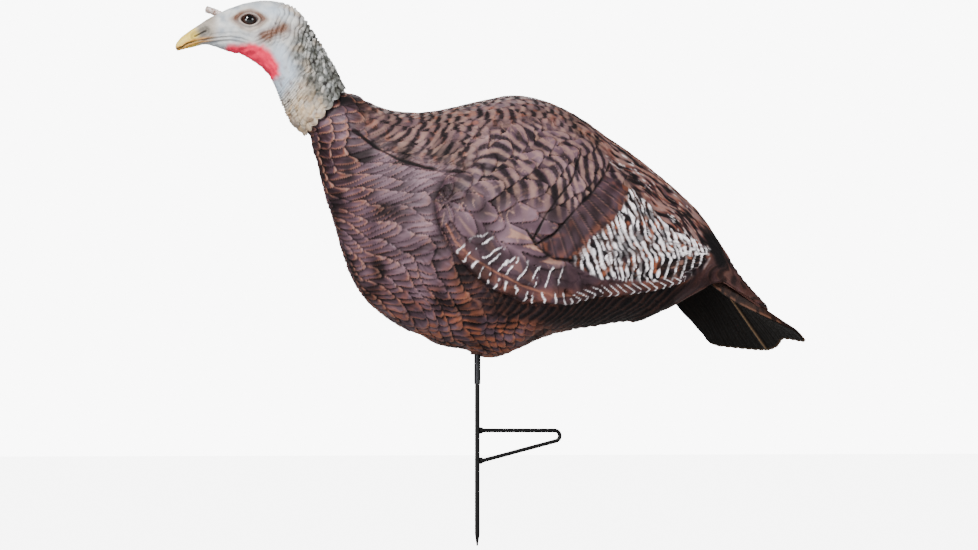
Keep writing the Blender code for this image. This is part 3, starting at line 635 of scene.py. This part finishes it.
def headGrid():
    # P = middle + reach*cos(angle) + halfWidth*sin(angle)*Y, with middle and reach from back and throat lines
    spots = np.arange(len(head["backX"]), dtype=float)
    bx, bz, tx, tz = (np.array(head[key], float) for key in ("backX", "backZ", "throatX", "throatZ"))
    gone = np.concatenate([[0], np.cumsum(np.hypot(np.diff((bx + tx) / 2), np.diff((bz + tz) / 2)))])
    at = np.interp(np.linspace(0, gone[-1], head["rows"] + 1), gone, spots)[:, None]
    angle = np.linspace(0, math.pi, head["columns"] + 1)
    bx, bz, tx, tz, wide = (curveThrough(at, spots, head[key]) for key in (
        "backX", "backZ", "throatX", "throatZ", "halfWidth"))
    points = np.stack([(bx + tx) / 2 + (bx - tx) / 2 * np.cos(angle), -wide * np.sin(angle) * np.ones_like(bx),
                       (bz + tz) / 2 + (bz - tz) / 2 * np.cos(angle)], axis=-1)
    return points, np.broadcast_to(at, points.shape[:2]), np.broadcast_to(angle, points.shape[:2])


def pebbles(down, across, loose=0.75):
    # jittered cells: gap is the distance to the nearest cell's middle, ident its random number
    out = dict(gap=np.full(down.shape, 9.0), ident=np.zeros(down.shape))
    u, v = np.floor(down), np.floor(across)
    for du in (-1, 0, 1):
        for dv in (-1, 0, 1):
            spotU, spotV = u + du, v + dv
            away = np.hypot(down - spotU - 0.5 - loose * (scatter(spotU, spotV, 1) - 0.5),
                            across - spotV - 0.5 - loose * (scatter(spotU, spotV, 2) - 0.5))
            nearer = away < out["gap"]
            out["gap"] = np.where(nearer, away, out["gap"])
            out["ident"] = np.where(nearer, scatter(spotU, spotV, 3), out["ident"])
    return out


def headSkin():
    points, at, angle = headGrid()
    normal = -gridNormals(points)  # rows run towards the beak, so the cross product points inwards
    normal[:, 0] = normal[:, 0] * (1, 0, 1)
    x, z = points[..., 0], points[..., 2]
    deg = np.degrees(angle)
    facing = ease(25, 55, deg) * ease(165, 140, deg)
    paint = {key: np.zeros(x.shape) for key in ("yellow", "red", "blue", "brown", "green", "cream", "shade", "lip")}
    fine, soft = cloud(points, 2.2, 31), cloud(points, 9, 32)
    height = np.zeros(x.shape)

    # eye: the skin sinks behind the ball inside an almond opening with a rolled lid round it
    ex, ez = head["eye"]
    ea, eb = head["eyeOpening"]
    across = (x - ex) / ea
    almond = np.hypot(across, (z - ez - 0.03 * (x - ex)) / (eb * (1 - 0.15 * np.abs(across) ** 1.5)))
    almond = np.where(np.isfinite(almond), almond, 9)
    height += facing * (-5.5 * ease(1.06, 0.86, almond) + 1.5 * bell(almond - 1.2, 0.17)
                        - 0.9 * bell(almond - 1.62, 0.16) + 0.7 * bell(almond - 1.95, 0.2))
    above = ease(-4, 3, z - ez)
    corner = ease(4, 13, np.abs(x - ex))
    paint["brown"] += facing * (bell(almond - 1.6, 0.55) * (0.35 + 0.5 * above + 0.35 * corner)
                                + 0.5 * bell(almond - 1.0, 0.1))
    paint["shade"] += facing * (0.8 * ease(1.1, 0.9, almond) + 0.45 * bell(almond - 1.5, 0.14) * (0.3 + 0.7 * above))
    paint["cream"] += facing * (0.35 * bell(almond - 1.2, 0.15) + 0.4 * bell(almond - 2.0, 0.6))

    # beak: horn from the nostril forward, hooked tip, mouth slit with an orange lower edge
    mouthGap, mouthRun = lineDistance(x, z, head["mouthLine"])
    beakOn = ease(-341, -351, x + 0.25 * (z - 455))
    cere = ease(-322, -334, x) * (1 - beakOn) * ease(459, 464, z)
    slit = bell(mouthGap, 0.9) * ease(90, 78, mouthRun) * (0.4 + 0.6 * ease(40, 5, mouthRun)) * ease(20, 50, deg)
    height += -1.5 * slit + 0.5 * bell(mouthGap - 1.9, 0.9) * ease(90, 60, mouthRun)
    height += -0.8 * bell(mouthGap - 4.5, 1.6) * ease(-355, -340, x) * ease(-280, -300, x)
    paint["lip"] += bell(mouthGap - 1.6, 1.5) * ease(20, 60, deg) * (z < 470) * ease(52, 30, mouthRun)
    paint["shade"] += 0.9 * slit + 0.25 * bell(mouthGap - 3, 2) * ease(-350, -335, x) * ease(-285, -310, x)
    paint["yellow"] += beakOn
    nostrilGap = lineDistance(x, z, head["nostril"])[0]
    bowl = bell(nostrilGap, 5.2) * facing
    height += 1.4 * bell(nostrilGap - 6.5, 1.8) * facing * ease(-330, -338, x) - 1.6 * bowl
    height -= 1.6 * bell(nostrilGap, 1.1)
    paint["shade"] += facing * (0.75 * bell(nostrilGap, 1.3) + 0.35 * bell(nostrilGap - 3.8, 1.6))
    paint["green"] += facing * 0.3 * bell(nostrilGap, 7) + 0.28 * cere
    paint["cream"] += 0.5 * cere

    # ear and the brown patch behind and below it
    earGap = np.hypot(x - head["ear"][0], (z - head["ear"][1]) * 1.2)
    height += facing * (0.8 * bell(earGap - 3.2, 1.2) - 1.2 * bell(earGap, 1.6))
    paint["shade"] += facing * 0.5 * bell(earGap, 1.5)
    patch = lineDistance(x, z, head["brownPatch"])[0]
    paint["brown"] += bell(patch, 8) * facing * (0.55 + 0.85 * soft)
    paint["brown"] += 0.45 * bell(np.hypot(x - head["brownNape"][0], z - head["brownNape"][1]), 14) * soft

    # scaly temple and crown
    warp = (cloud(points, 11, 33) - 0.5) * 5
    temple = np.hypot((x - head["temple"][0]) / 16, (z - head["temple"][1]) / 9)
    pore = np.abs(np.sin((x + warp * 0.3) * 1.9)) * np.abs(np.sin((z + 0.3 * x) * 1.7))
    scaly = bell(temple, 1.0) * facing
    height += 0.45 * scaly * pore
    paint["blue"] += 0.75 * bell(temple, 1.2) + 0.35 * ease(-250, -300, x) * soft

    # wrinkles behind the head: folds that run down the nape and break up
    nape = ease(5.9, 4.6, at + 0.012 * (deg - 90) + (soft - 0.5)) * ease(1.4, 3.0, at)
    nape += 0.8 * ease(7.2, 6.2, at) * ease(5.2, 6.0, at) * ease(130, 105, deg)
    foldWay = x * 0.80 - z * 0.28 + warp * 1.6
    fold = np.abs(np.sin(math.pi * foldWay / head["napeFold"])) ** 0.7
    foldOn = np.clip(nape, 0, 1) * ease(140, 95, deg)
    height += foldOn * 2.4 * (fold - 0.6) * (0.5 + soft)
    paint["shade"] += foldOn * 0.6 * ease(0.5, 0.1, fold) * ease(0.2, 0.6, soft)
    paint["cream"] += foldOn * 0.5 * ease(0.5, 0.8, soft)
    jaw = ease(-288, -276, x) * ease(-240, -252, x) * ease(455, 462, z) * ease(480, 468, z) * facing
    jawFold = np.abs(np.sin(math.pi * (z - 0.45 * x + warp) / head["jawFold"])) ** 0.7
    height += jaw * 1.2 * (jawFold - 0.6)
    paint["shade"] += jaw * 0.5 * ease(0.4, 0.1, jawFold)

    # warts: roof-tile bumps that grow towards the skirt
    arc = np.cumsum(np.linalg.norm(np.gradient(points, axis=1), axis=2), axis=1)
    down = np.cumsum(np.linalg.norm(np.gradient(points, axis=0), axis=2).mean(axis=1))[:, None]
    wartDown, wartRound = head["wart"]
    bump = pebbles((down + warp * 0.8) / wartDown, (arc + warp) / (wartRound + 1.5 * ease(3, 0, at)))
    neckOn = ease(5.2, 3.8, at + (soft - 0.5))
    frontEase = 1 - 0.8 * ease(2.4, 3.4, at) * ease(95, 120, deg)
    dome = np.clip(1 - 1.15 * bump["gap"] ** 2, 0, 1)
    height += neckOn * frontEase * (2.9 * (dome - 0.55) * (0.6 + 0.7 * bump["ident"]) + 0.7 * (fine - 0.5))
    groove = ease(0.55, 0.85, bump["gap"])
    paint["shade"] += neckOn * frontEase * groove * (0.62 + 0.4 * ease(110, 70, deg))
    ripple = np.sin(2 * math.pi * (down + warp * 0.6) / head["throatRing"])
    frontRing = ease(3.9, 3.0, at) * ease(0.9, 1.7, at) * ease(100, 125, deg)
    height += 0.5 * frontRing * ripple
    paint["shade"] += 0.26 * frontRing * ease(0.5, 1, -ripple)
    rear = ease(124, 84, deg + 30 * (soft - 0.5)) * ease(5.6, 4.2, at)
    # the nape's dark green paint, thinned on the wart tops as a painted highlight
    paint["green"] += rear * (0.98 + 0.35 * (fine - 0.5) - 0.45 * ease(0.6, 0.9, bump["ident"]) - 0.3 * dome)
    paint["cream"] += ease(3.2, 1.6, at) * ease(75, 105, deg) * (0.45 + 0.6 * bump["ident"])
    paint["brown"] += neckOn * 0.5 * ease(60, 80, deg) * ease(0.55, 0.8, cloud(points, 6, 34)) * (1 - rear)
    paint["blue"] += ease(2.6, 3.6, at) * ease(6.5, 5.0, at) * ease(95, 118, deg) * 0.9

    # throat: a bright patch with lumps, fading into the neck
    redIn = insideBy(x, z, head["redPatch"])
    lump = cloud(points, 5, 35)
    red = ease(-4.5, 4.5, redIn + 3.5 * (lump - 0.5))
    paint["red"] += red
    height += red * 2.4 * (lump - 0.4)
    for key in ("brown", "green", "cream", "shade", "blue"):
        paint[key] *= 1 - 0.85 * red
    for key in ("blue", "cream", "brown"):
        paint[key] *= 1 - 0.8 * beakOn
    height += 0.5 * (fine - 0.5) * (1 - beakOn) + 0.5 * (soft - 0.5)
    height *= ease(17, 16.2, at) * 0.8 + 0.2
    shaped = points + normal * height[..., None]

    # skirt: scallops that hang past the joint, then a turned-in edge
    axis = sloping()[0]
    lobe = np.abs(np.sin(arc[0] / head["scallop"] * math.pi + 0.5 * np.sin(arc[0] / 17))) ** 0.6
    fall = (ease(0.55, 0, at) * (head["skirtDrop"] * lobe[None, :] - 2.6))[..., None]
    shaped = shaped + axis * fall + normal * (ease(0.5, 0, at) * 1.2)[..., None]
    rim = shaped[0]
    inner = rim - normal[0] * 2.2 - axis * 0.8
    deep = rim - normal[0] * 2.4 - axis * (7 + fall[0])
    shaped = np.concatenate([deep[None], inner[None], shaped])
    paint = {key: np.concatenate([value[:1], value[:1], value]) for key, value in paint.items()}
    shaped[:, (0, -1), 1] = 0
    tip = shaped[-1].mean(axis=0) * (1, 0, 1)
    beakTip = np.broadcast_to(tip + (-1.5, 0, -1.2), shaped[-1:].shape)
    shaped = np.concatenate([shaped, shaped[-1:] * 0.45 + tip * 0.55 + (-1.2, 0, -0.8), beakTip])
    paint = {key: np.concatenate([value, value[-1:], value[-1:]]) for key, value in paint.items()}
    masks = {key: mirrored(value) for key, value in paint.items()}
    piece = gridMesh("headAndNeckSkin", mirrored(shaped, True), None, masks, ringed=True, flip=True)
    piece.data.materials.append(skinPaint())
    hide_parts("head_shell")
    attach(piece, "head")


def skinPaint():
    # hand-painted soft vinyl: matte bare skin
    material, tree, shader = newMaterial("paintedVinylSkin")
    place = add(tree, "ShaderNodeTexCoord").outputs["Object"]
    pores = add(tree, "ShaderNodeTexNoise", {"Vector": place, "Scale": 800, "Detail": 3}).outputs["Fac"]  # 1.2 mm
    cloudy = add(tree, "ShaderNodeTexNoise", {"Vector": place, "Scale": 110, "Detail": 4}).outputs["Fac"]  # 9 mm
    ramp = add(tree, "ShaderNodeValToRGB", {"Fac": cloudy})
    rampStops(ramp, (0.3, "#7d8083"), (0.7, "#b4b2ad"))
    layers = (("blue", "#9aa8b8", 0.8), ("cream", "#a48d70", 1.0), ("green", "#25261f", 1.15),
              ("brown", "#553422", 0.95), ("red", "#cf1740", 1.2), ("yellow", "#c0a548", 1.1),
              ("lip", "#9a6a26", 0.95), ("shade", "#191513", 1.1))
    paint = brushedOver(tree, ramp.outputs["Color"], pores, [
        (key, colour, 0.5 * most, 0.75 * most) for key, colour, most in layers])
    tree.links.new(paint, shader.inputs["Base Color"])
    grainyFinish(tree, shader, pores, (0.45, 0.7), 0.3, 0.0005)
    shader.inputs["Specular IOR Level"].default_value = 0.3
    return material


headSkin()


eye = {"centre": (-290, 15.2, 487.0), "radii": (9.6, 8.7, 8.6)}  # mm


def eyes():
    # an ellipsoid about each side's own Y axis: radii times (sin u cos v, cos u, sin u sin v)
    material, tree, shader = newMaterial("lacqueredGlassEye")  # gloss over dark brown paint, black pupil
    place = add(tree, "ShaderNodeAttribute", attribute_name="fromPupil").outputs["Fac"]
    ramp = add(tree, "ShaderNodeValToRGB", {"Fac": place})
    rampStops(ramp, (0.0, "#020202"), (0.24, "#020202"), (0.30, "#2a150b"), (0.44, "#170c07"), (0.50, "#050404"),
              (1.0, "#050404"))
    tree.links.new(ramp.outputs["Color"], shader.inputs["Base Color"])
    shader.inputs["Roughness"].default_value = 0.04
    shader.inputs["Specular IOR Level"].default_value = 0.3
    shader.inputs["Coat Weight"].default_value = 0.5
    u, v = np.meshgrid(np.linspace(0, math.pi, 49), np.linspace(0, 2 * math.pi, 64, endpoint=False), indexing="ij")
    for name, side in (("eyeLeft", -1), ("eyeRight", 1)):
        a, b, c = eye["radii"]
        x0, y0, z0 = eye["centre"]
        points = np.stack([x0 + a * np.sin(u) * np.cos(v), side * (y0 + b * np.cos(u)),
                           z0 + c * np.sin(u) * np.sin(v)], axis=-1)
        ball = gridMesh(name, points, None, {"fromPupil": u / math.pi * 1.25}, ringed=True, flip=side < 0)
        ball.data.materials.append(material)
        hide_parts("eye_left" if side < 0 else "eye_right")
        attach(ball, "head")


eyes()
print("head and eyes done")


tail = {  # lengths in mm
    "along": [468, 494, 534, 564, 588, 606, 635], "height": [184.8, 178, 167.5, 159.6, 153.3, 148.6, 141],
    "halfWidth": [52, 65, 83, 100, 120, 137, 140], "droop": [46, 44, 36, 25, 17, 12, 10],
    "cornerCut": 27,  # that the outer feathers are shorter
    "feathers": 9,  # on each side
    "thickness": 2.0,
    "rootFill": 4.5,  # depth of the short feathers over the root
    "rows": 150, "columns": 240,
}


def tailSurface(along, share):
    # a sheet that sags towards its sides: up = height - droop*share^2, side = halfWidth*share
    height, width, droop = (curveThrough(along, tail["along"], tail[key]) for key in ("height", "halfWidth", "droop"))
    return slopingPoints(along, height - droop * share ** 2, width * share)


def tailFan():
    share = np.linspace(-1, 1, tail["columns"] + 1)[None, :] * np.ones((tail["rows"] + 1, 1))
    part = np.linspace(0, 1, tail["rows"] + 1)[:, None]
    place = share * tail["feathers"]
    beside = np.mod(np.abs(place) + 0.5, 1)  # 0 at a feather's inner edge, 1 at its outer edge
    number = np.floor(np.abs(place) + 0.5)
    scallop = 1.1 * np.abs(2 * beside - 1) ** 2 * (number > 0) + 7 * bell(share + 0.45, 0.17) + 8 * ease(0.8, 1, share)
    end = tail["along"][-1] - tail["cornerCut"] * np.abs(share) ** 1.6 - scallop + 11 * ease(0.6, 1, -share)
    along = tail["along"][0] + (end - tail["along"][0]) * part
    middle = tailSurface(along, share * (1 - 0.05 * ease(0.75, 1, part) * ease(0.9, 1, np.abs(share))))
    normal = gridNormals(middle)
    normal *= np.sign(normal[..., 2:])
    half = tail["thickness"] / 2
    shaft = bell(beside - 0.5, 0.045) * ease(1.0, 0.9, part)
    vane = 0.5 * (beside - 0.5)
    barb = cloud(flat2(along / 9, np.abs(share) * 130), 1.4, 41)
    # short feathers over the root fill the space up to the body's rim and thin out towards the tip
    fill = (tail["rootFill"] + 3.5 * np.abs(share)) * ease(625, 545, along) * ease(1.0, 0.93, np.abs(share))
    upper = middle + normal * (half + fill + 0.35 * shaft + vane * 0.8 + 0.25 * barb)[..., None]
    rib = bell(share * 100, 1.7) * ease(1.0, 0.97, part)
    lower = middle - normal * (half + 0.30 * shaft + vane * 0.6 + 1.6 * rib + 0.25 * barb)[..., None]
    covered = ease(0.3, 1.5, fill)
    tipBand = ease(30, 22, end - along)
    wave = cloud(flat2(along + 3 * np.abs(2 * beside - 1), number * 40 + beside * 6), 3.2, 42)
    toEnd = end - along
    top = dict(topside=share * 0 + 1, bars=ease(0.42, 0.6, wave) * (1 - tipBand) * (1 - 0.85 * covered),
               band=ease(24, 18, toEnd) * ease(10, 14, toEnd), edge=ease(11, 8, toEnd),
               shaft=shaft * (1 - covered), rib=share * 0, barb=barb)
    under = dict(topside=share * 0, bars=ease(0.45, 0.7, wave), band=share * 0, edge=ease(3, 1, toEnd) * 0.4,
                 shaft=shaft, rib=rib, barb=barb)
    # upper and lower sheets joined round the rim: lower rows follow the upper ones back to the root
    points = np.concatenate([upper, lower[::-1]])
    points = np.concatenate([points, points[:1]])
    masks = {key: np.concatenate([top[key], under[key][::-1], top[key][:1]]) for key in top}
    # the two long edges close on the middle surface
    rim = np.concatenate([middle, middle[::-1], middle[:1]])
    points[:, 0], points[:, -1] = rim[:, 0], rim[:, -1]
    fan = gridMesh("tailFeathers", points, None, masks)
    fan.data.materials.append(tailPaint())
    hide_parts("tail_fan")
    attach(fan, "decoy_body")


def tailPaint():
    # printed and brushed polyethylene sheet: dull near-black brown below, barred brown above
    material, tree, shader = newMaterial("printedTailSheet")
    place = add(tree, "ShaderNodeTexCoord").outputs["Object"]
    grain = add(tree, "ShaderNodeTexNoise", {"Vector": place, "Scale": 500, "Detail": 3}).outputs["Fac"]  # 2 mm
    topside, bars, barb = (add(tree, "ShaderNodeAttribute", attribute_name=key).outputs["Fac"]
                           for key in ("topside", "bars", "barb"))
    below = add(tree, "ShaderNodeMix", {0: barb, 6: linear("#040201"), 7: linear("#0e0805")},
                data_type="RGBA").outputs[2]
    above = add(tree, "ShaderNodeMix", {0: bars, 6: linear("#150b09"), 7: linear("#4a3024")},
                data_type="RGBA").outputs[2]
    paint = add(tree, "ShaderNodeMix", {0: topside, 6: below, 7: above}, data_type="RGBA").outputs[2]
    layers = (("band", "#120c0c", 1.2), ("edge", "#7a5c40", 0.9), ("shaft", "#140c08", 0.6), ("rib", "#77604a", 1.1))
    paint = brushedOver(tree, paint, grain, [(key, colour, 0.6 * most, 0.6 * most) for key, colour, most in layers])
    tree.links.new(paint, shader.inputs["Base Color"])
    grainyFinish(tree, shader, grain, (0.45, 0.65), 0.2, 0.0005)
    shader.inputs["Specular IOR Level"].default_value = 0.06
    return material


tailFan()
print("tail done")


def tube(name, path, radii, sides=28, lump=None):
    # circles of the given radii carried along a path in the plane y = 0, closed at each end on the path's first and
    # last points
    path, radii = np.asarray(path, float), np.asarray(radii, float)
    way = np.gradient(path, axis=0)
    way /= np.linalg.norm(way, axis=1, keepdims=True)
    normal = np.stack([-way[:, 2], 0 * way[:, 0], way[:, 0]], axis=1)
    turn = np.linspace(0, 2 * math.pi, sides, endpoint=False)
    circle = np.cos(turn)[None, :, None] * normal[:, None] + np.sin(turn)[None, :, None] * np.array((0, 1, 0))
    rows = path[:, None] + radii[:, None, None] * circle
    if lump is not None:
        rows = rows + circle * lump(rows)[..., None]
    first, last = rows[:1] * 0 + path[0], rows[:1] * 0 + path[-1]
    return gridMesh(name, np.concatenate([first, rows, last]), None, None, ringed=True, flip=True)


snood = {"base": (-317, 492.5), "tip": (-339, 500.5), "sag": 0.8, "radius": (4.0, 3.7)}  # mm


def makeSnood():
    part = np.linspace(0, 1, 60)
    path = np.stack([snood["base"][0] + (snood["tip"][0] - snood["base"][0]) * part, 0 * part,
                     snood["base"][1] + (snood["tip"][1] - snood["base"][1]) * part
                     + snood["sag"] * np.sin(part * math.pi)], axis=1)
    thick = snood["radius"][0] + (snood["radius"][1] - snood["radius"][0]) * part
    thick = thick * (1 + 0.5 * bell(part, 0.12)) * np.sqrt(np.clip(1 - ((part - 0.91) / 0.09).clip(0) ** 2, 0.02, 1))
    thick = thick * (1 + 0.10 * np.abs(np.sin(part * 19)))
    piece = tube("snoodFlesh", path, thick, 32, lambda p: 0.7 * (cloud(p, 1.8, 51) - 0.5))
    material, tree, shader = newMaterial("paintedSnoodVinyl")  # soft vinyl, mottled pink and grey
    place = add(tree, "ShaderNodeTexCoord").outputs["Object"]
    mottle = add(tree, "ShaderNodeTexNoise", {"Vector": place, "Scale": 420, "Detail": 3}).outputs["Fac"]
    ramp = add(tree, "ShaderNodeValToRGB", {"Fac": mottle})
    rampStops(ramp, (0.38, "#6c5247"), (0.62, "#b3a9a4"))
    tree.links.new(ramp.outputs["Color"], shader.inputs["Base Color"])
    shader.inputs["Roughness"].default_value = 0.6
    bump = add(tree, "ShaderNodeBump", {"Height": mottle, "Strength": 0.4, "Distance": 0.0005})
    tree.links.new(bump.outputs["Normal"], shader.inputs["Normal"])
    piece.data.materials.append(material)
    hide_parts("snood")
    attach(piece, "head")


def plainFinish(name, colour, dull, metallic, grain, strength):
    # coated or bare metal, plastic and rubber: colour drifts a little, roughness and bump follow the grain
    material, tree, shader = newMaterial(name)
    place = add(tree, "ShaderNodeTexCoord").outputs["Object"]
    noise = add(tree, "ShaderNodeTexNoise", {"Vector": place, "Scale": grain, "Detail": 4}).outputs["Fac"]
    drift = add(tree, "ShaderNodeTexNoise", {"Vector": place, "Scale": 60, "Detail": 3}).outputs["Fac"]
    lighter = [min(1, c * 1.6 + 0.002) for c in linear(colour)[:3]] + [1]
    paint = add(tree, "ShaderNodeMix", {0: drift, 6: linear(colour), 7: lighter}, data_type="RGBA").outputs[2]
    tree.links.new(paint, shader.inputs["Base Color"])
    grainyFinish(tree, shader, noise, (dull - 0.1, dull + 0.1), strength, 0.0003)
    shader.inputs["Metallic"].default_value = metallic
    if not metallic:
        shader.inputs["Specular IOR Level"].default_value = 0.12
    return material


step = {"rod": 2.5, "reach": 107, "bend": 6.5, "braceFoot": -36, "stake": 3.0, "weld": 4.2}  # mm


def footStep():
    # a rod bent into a long loop: level bar, half-round bend, sloping brace
    barZ = step["rod"] * math.cos(math.pi / 12)
    bendX, bendZ = step["reach"] - step["bend"], barZ - step["bend"]
    slope = math.atan2(bendZ - step["bend"] - step["braceFoot"], bendX)
    turn = np.linspace(0, math.pi - slope, 25)
    bend = np.stack([bendX + step["bend"] * np.sin(turn), 0 * turn, bendZ + step["bend"] * np.cos(turn)], axis=1)
    start = step["stake"] + 0.4
    bar = np.stack([np.linspace(start, bendX - 1, 40), np.zeros(40), np.full(40, barZ)], axis=1)
    part = np.linspace(0.02, 0.965, 40)[:, None]
    brace = bend[-1] + part * (np.array((0, 0, step["braceFoot"])) - bend[-1])
    path = np.concatenate([bar, bend, brace])
    loop = tube("footStepRod", path, np.full(len(path), step["rod"]), 24, lambda p: 0.08 * (cloud(p, 3, 61) - 0.5))
    coat = plainFinish("blackPowderCoat", "#030303", 0.5, 0.0, 1400, 0.35)  # fine orange peel of baked powder
    loop.data.materials.append(coat)
    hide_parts("foot_step")
    welds = []
    for name, z, tilt in (("weldBeadUpper", barZ, 0.0), ("weldBeadLower", step["braceFoot"] + 1.4, 0.25)):
        part = np.linspace(0, 1, 24)
        spine = np.stack([step["stake"] + 0.05 + step["weld"] * part, 0 * part, z + tilt * step["weld"] * part], axis=1)
        bead = step["rod"] + 0.15 + 1.5 * np.sqrt(np.clip(1 - part ** 2, 0, 1))
        welds.append(tube(name, spine, bead, 28, lambda p: 0.45 * (cloud(p, 1.6, 62) - 0.5)))
    for piece in welds:
        piece.data.materials.append(coat)
    for piece in [loop] + welds:
        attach(piece, "stake")
    return coat


def repaint(material, *nodes):  # a carried CAD node keeps its shape and gets this finish
    for node in nodes:
        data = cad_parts[node].data
        data.materials.clear()
        data.materials.append(material)


makeSnood()
repaint(footStep(), "ground_stake")
repaint(plainFinish("dullGreySteel", "#242426", 0.45, 1.0, 900, 0.3), "pivot_tube", "tube_end_plug", "retaining_washer",
        "cup_snap_ring")
repaint(plainFinish("mouldedBlackPlastic", "#0e0e0e", 0.6, 0.0, 700, 0.25), "rear_bulkhead", "tail_rivet_left",
        "tail_rivet_right", "stake_socket", "neck_collar", "neck_cup", "neck_spigot")
repaint(plainFinish("naturalNylon", "#b9b4a6", 0.42, 0.0, 600, 0.15), "top_bush", "thrust_pad")
repaint(plainFinish("sealRubber", "#0b0b0b", 0.7, 0.0, 900, 0.2), "spigot_o_ring")
repaint(plainFinish("brownBlownPlastic", "#3a2420", 0.6, 0.0, 500, 0.3), "body_shell_left", "body_shell_right",
        "belly_bush")
print("stake and fittings done")


camera = {"target": (0.015, 0, 0.193), "distance": 2.3, "azimuth": -18, "elevation": -5, "lens": 68.8}


def makeCamera():
    turn, lift = math.radians(camera["azimuth"]), math.radians(camera["elevation"])
    back = np.array((math.sin(turn) * math.cos(lift), -math.cos(turn) * math.cos(lift), math.sin(lift)))
    place = np.array(camera["target"]) + back * camera["distance"]
    data = bpy.data.cameras.new("camera")
    data.lens, data.sensor_width = camera["lens"], 36
    lens = bpy.data.objects.new("camera", data)
    lens.location = place
    lens.rotation_euler = (math.radians(90) - lift, 0, turn)
    bpy.context.collection.objects.link(lens)
    bpy.context.scene.camera = lens


makeCamera()


def makeStudio():
    # pale floor just under the stake's point, white surroundings and five soft lamps
    size, depth = 12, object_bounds()[0].z - 0.002
    ground = np.array([[(-size, -size, depth), (size, -size, depth)], [(-size, size, depth), (size, size, depth)]])
    floor = gridMesh("floor", ground / mm, flip=True)
    material, tree, shader = newMaterial("paleFloorPaper")
    shader.inputs["Base Color"].default_value = linear("#9c9c9c")
    shader.inputs["Roughness"].default_value = 0.9
    # the backdrop's own white carries over the floor, so only a faint horizon is left
    glow = add(tree, "ShaderNodeEmission", {"Color": linear("#ffffff"), "Strength": studio["backdrop"] * 0.8})
    ray = add(tree, "ShaderNodeLightPath").outputs["Is Camera Ray"]
    both = add(tree, "ShaderNodeMixShader", {0: ray, 1: shader.outputs[0], 2: glow.outputs[0]})
    tree.links.new(both.outputs[0], tree.nodes["Material Output"].inputs["Surface"])
    floor.data.materials.append(material)
    world = bpy.data.worlds.new("studio")
    world.use_nodes = True
    tree, lit = world.node_tree, world.node_tree.nodes["Background"]
    lit.inputs["Color"].default_value = linear("#ffffff")
    lit.inputs["Strength"].default_value = studio["sky"]
    seen = add(tree, "ShaderNodeBackground", {"Color": linear("#ffffff"), "Strength": studio["backdrop"]})
    ray = add(tree, "ShaderNodeLightPath").outputs["Is Camera Ray"]
    both = add(tree, "ShaderNodeMixShader", {0: ray, 1: lit.outputs[0], 2: seen.outputs[0]})
    tree.links.new(both.outputs[0], tree.nodes["World Output"].inputs["Surface"])
    bpy.context.scene.world = world
    for name, place, target, wide, power in studio["lamps"]:
        data = bpy.data.lights.new(name, "AREA")
        data.shape, data.size, data.energy = "DISK", wide, power
        lamp = bpy.data.objects.new(name, data)
        lamp.location = place
        way = np.array(target) - np.array(place)
        lamp.rotation_euler = (math.atan2(math.hypot(way[0], way[1]), -way[2]), 0, math.atan2(-way[0], way[1]))
        bpy.context.collection.objects.link(lamp)


studio = {"sky": 0.26, "backdrop": 9, "lamps": [("key", (-1.5, -2.6, 2.1), (0, 0, 0.3), 1.1, 270),
                                                 ("fill", (2.2, -2.2, 0.9), (0, 0, 0.2), 1.5, 50),
                                                 ("low", (-1.8, -1.8, 0.25), (-0.1, 0, 0.25), 1.0, 45),
                                                 ("rim", (0.6, 2.0, 2.4), (0, 0, 0.3), 1.5, 20),
                                                 ("back", (0.9, 3.0, 1.0), (0, 0, 0.2), 1.6, 110)]}
makeStudio()
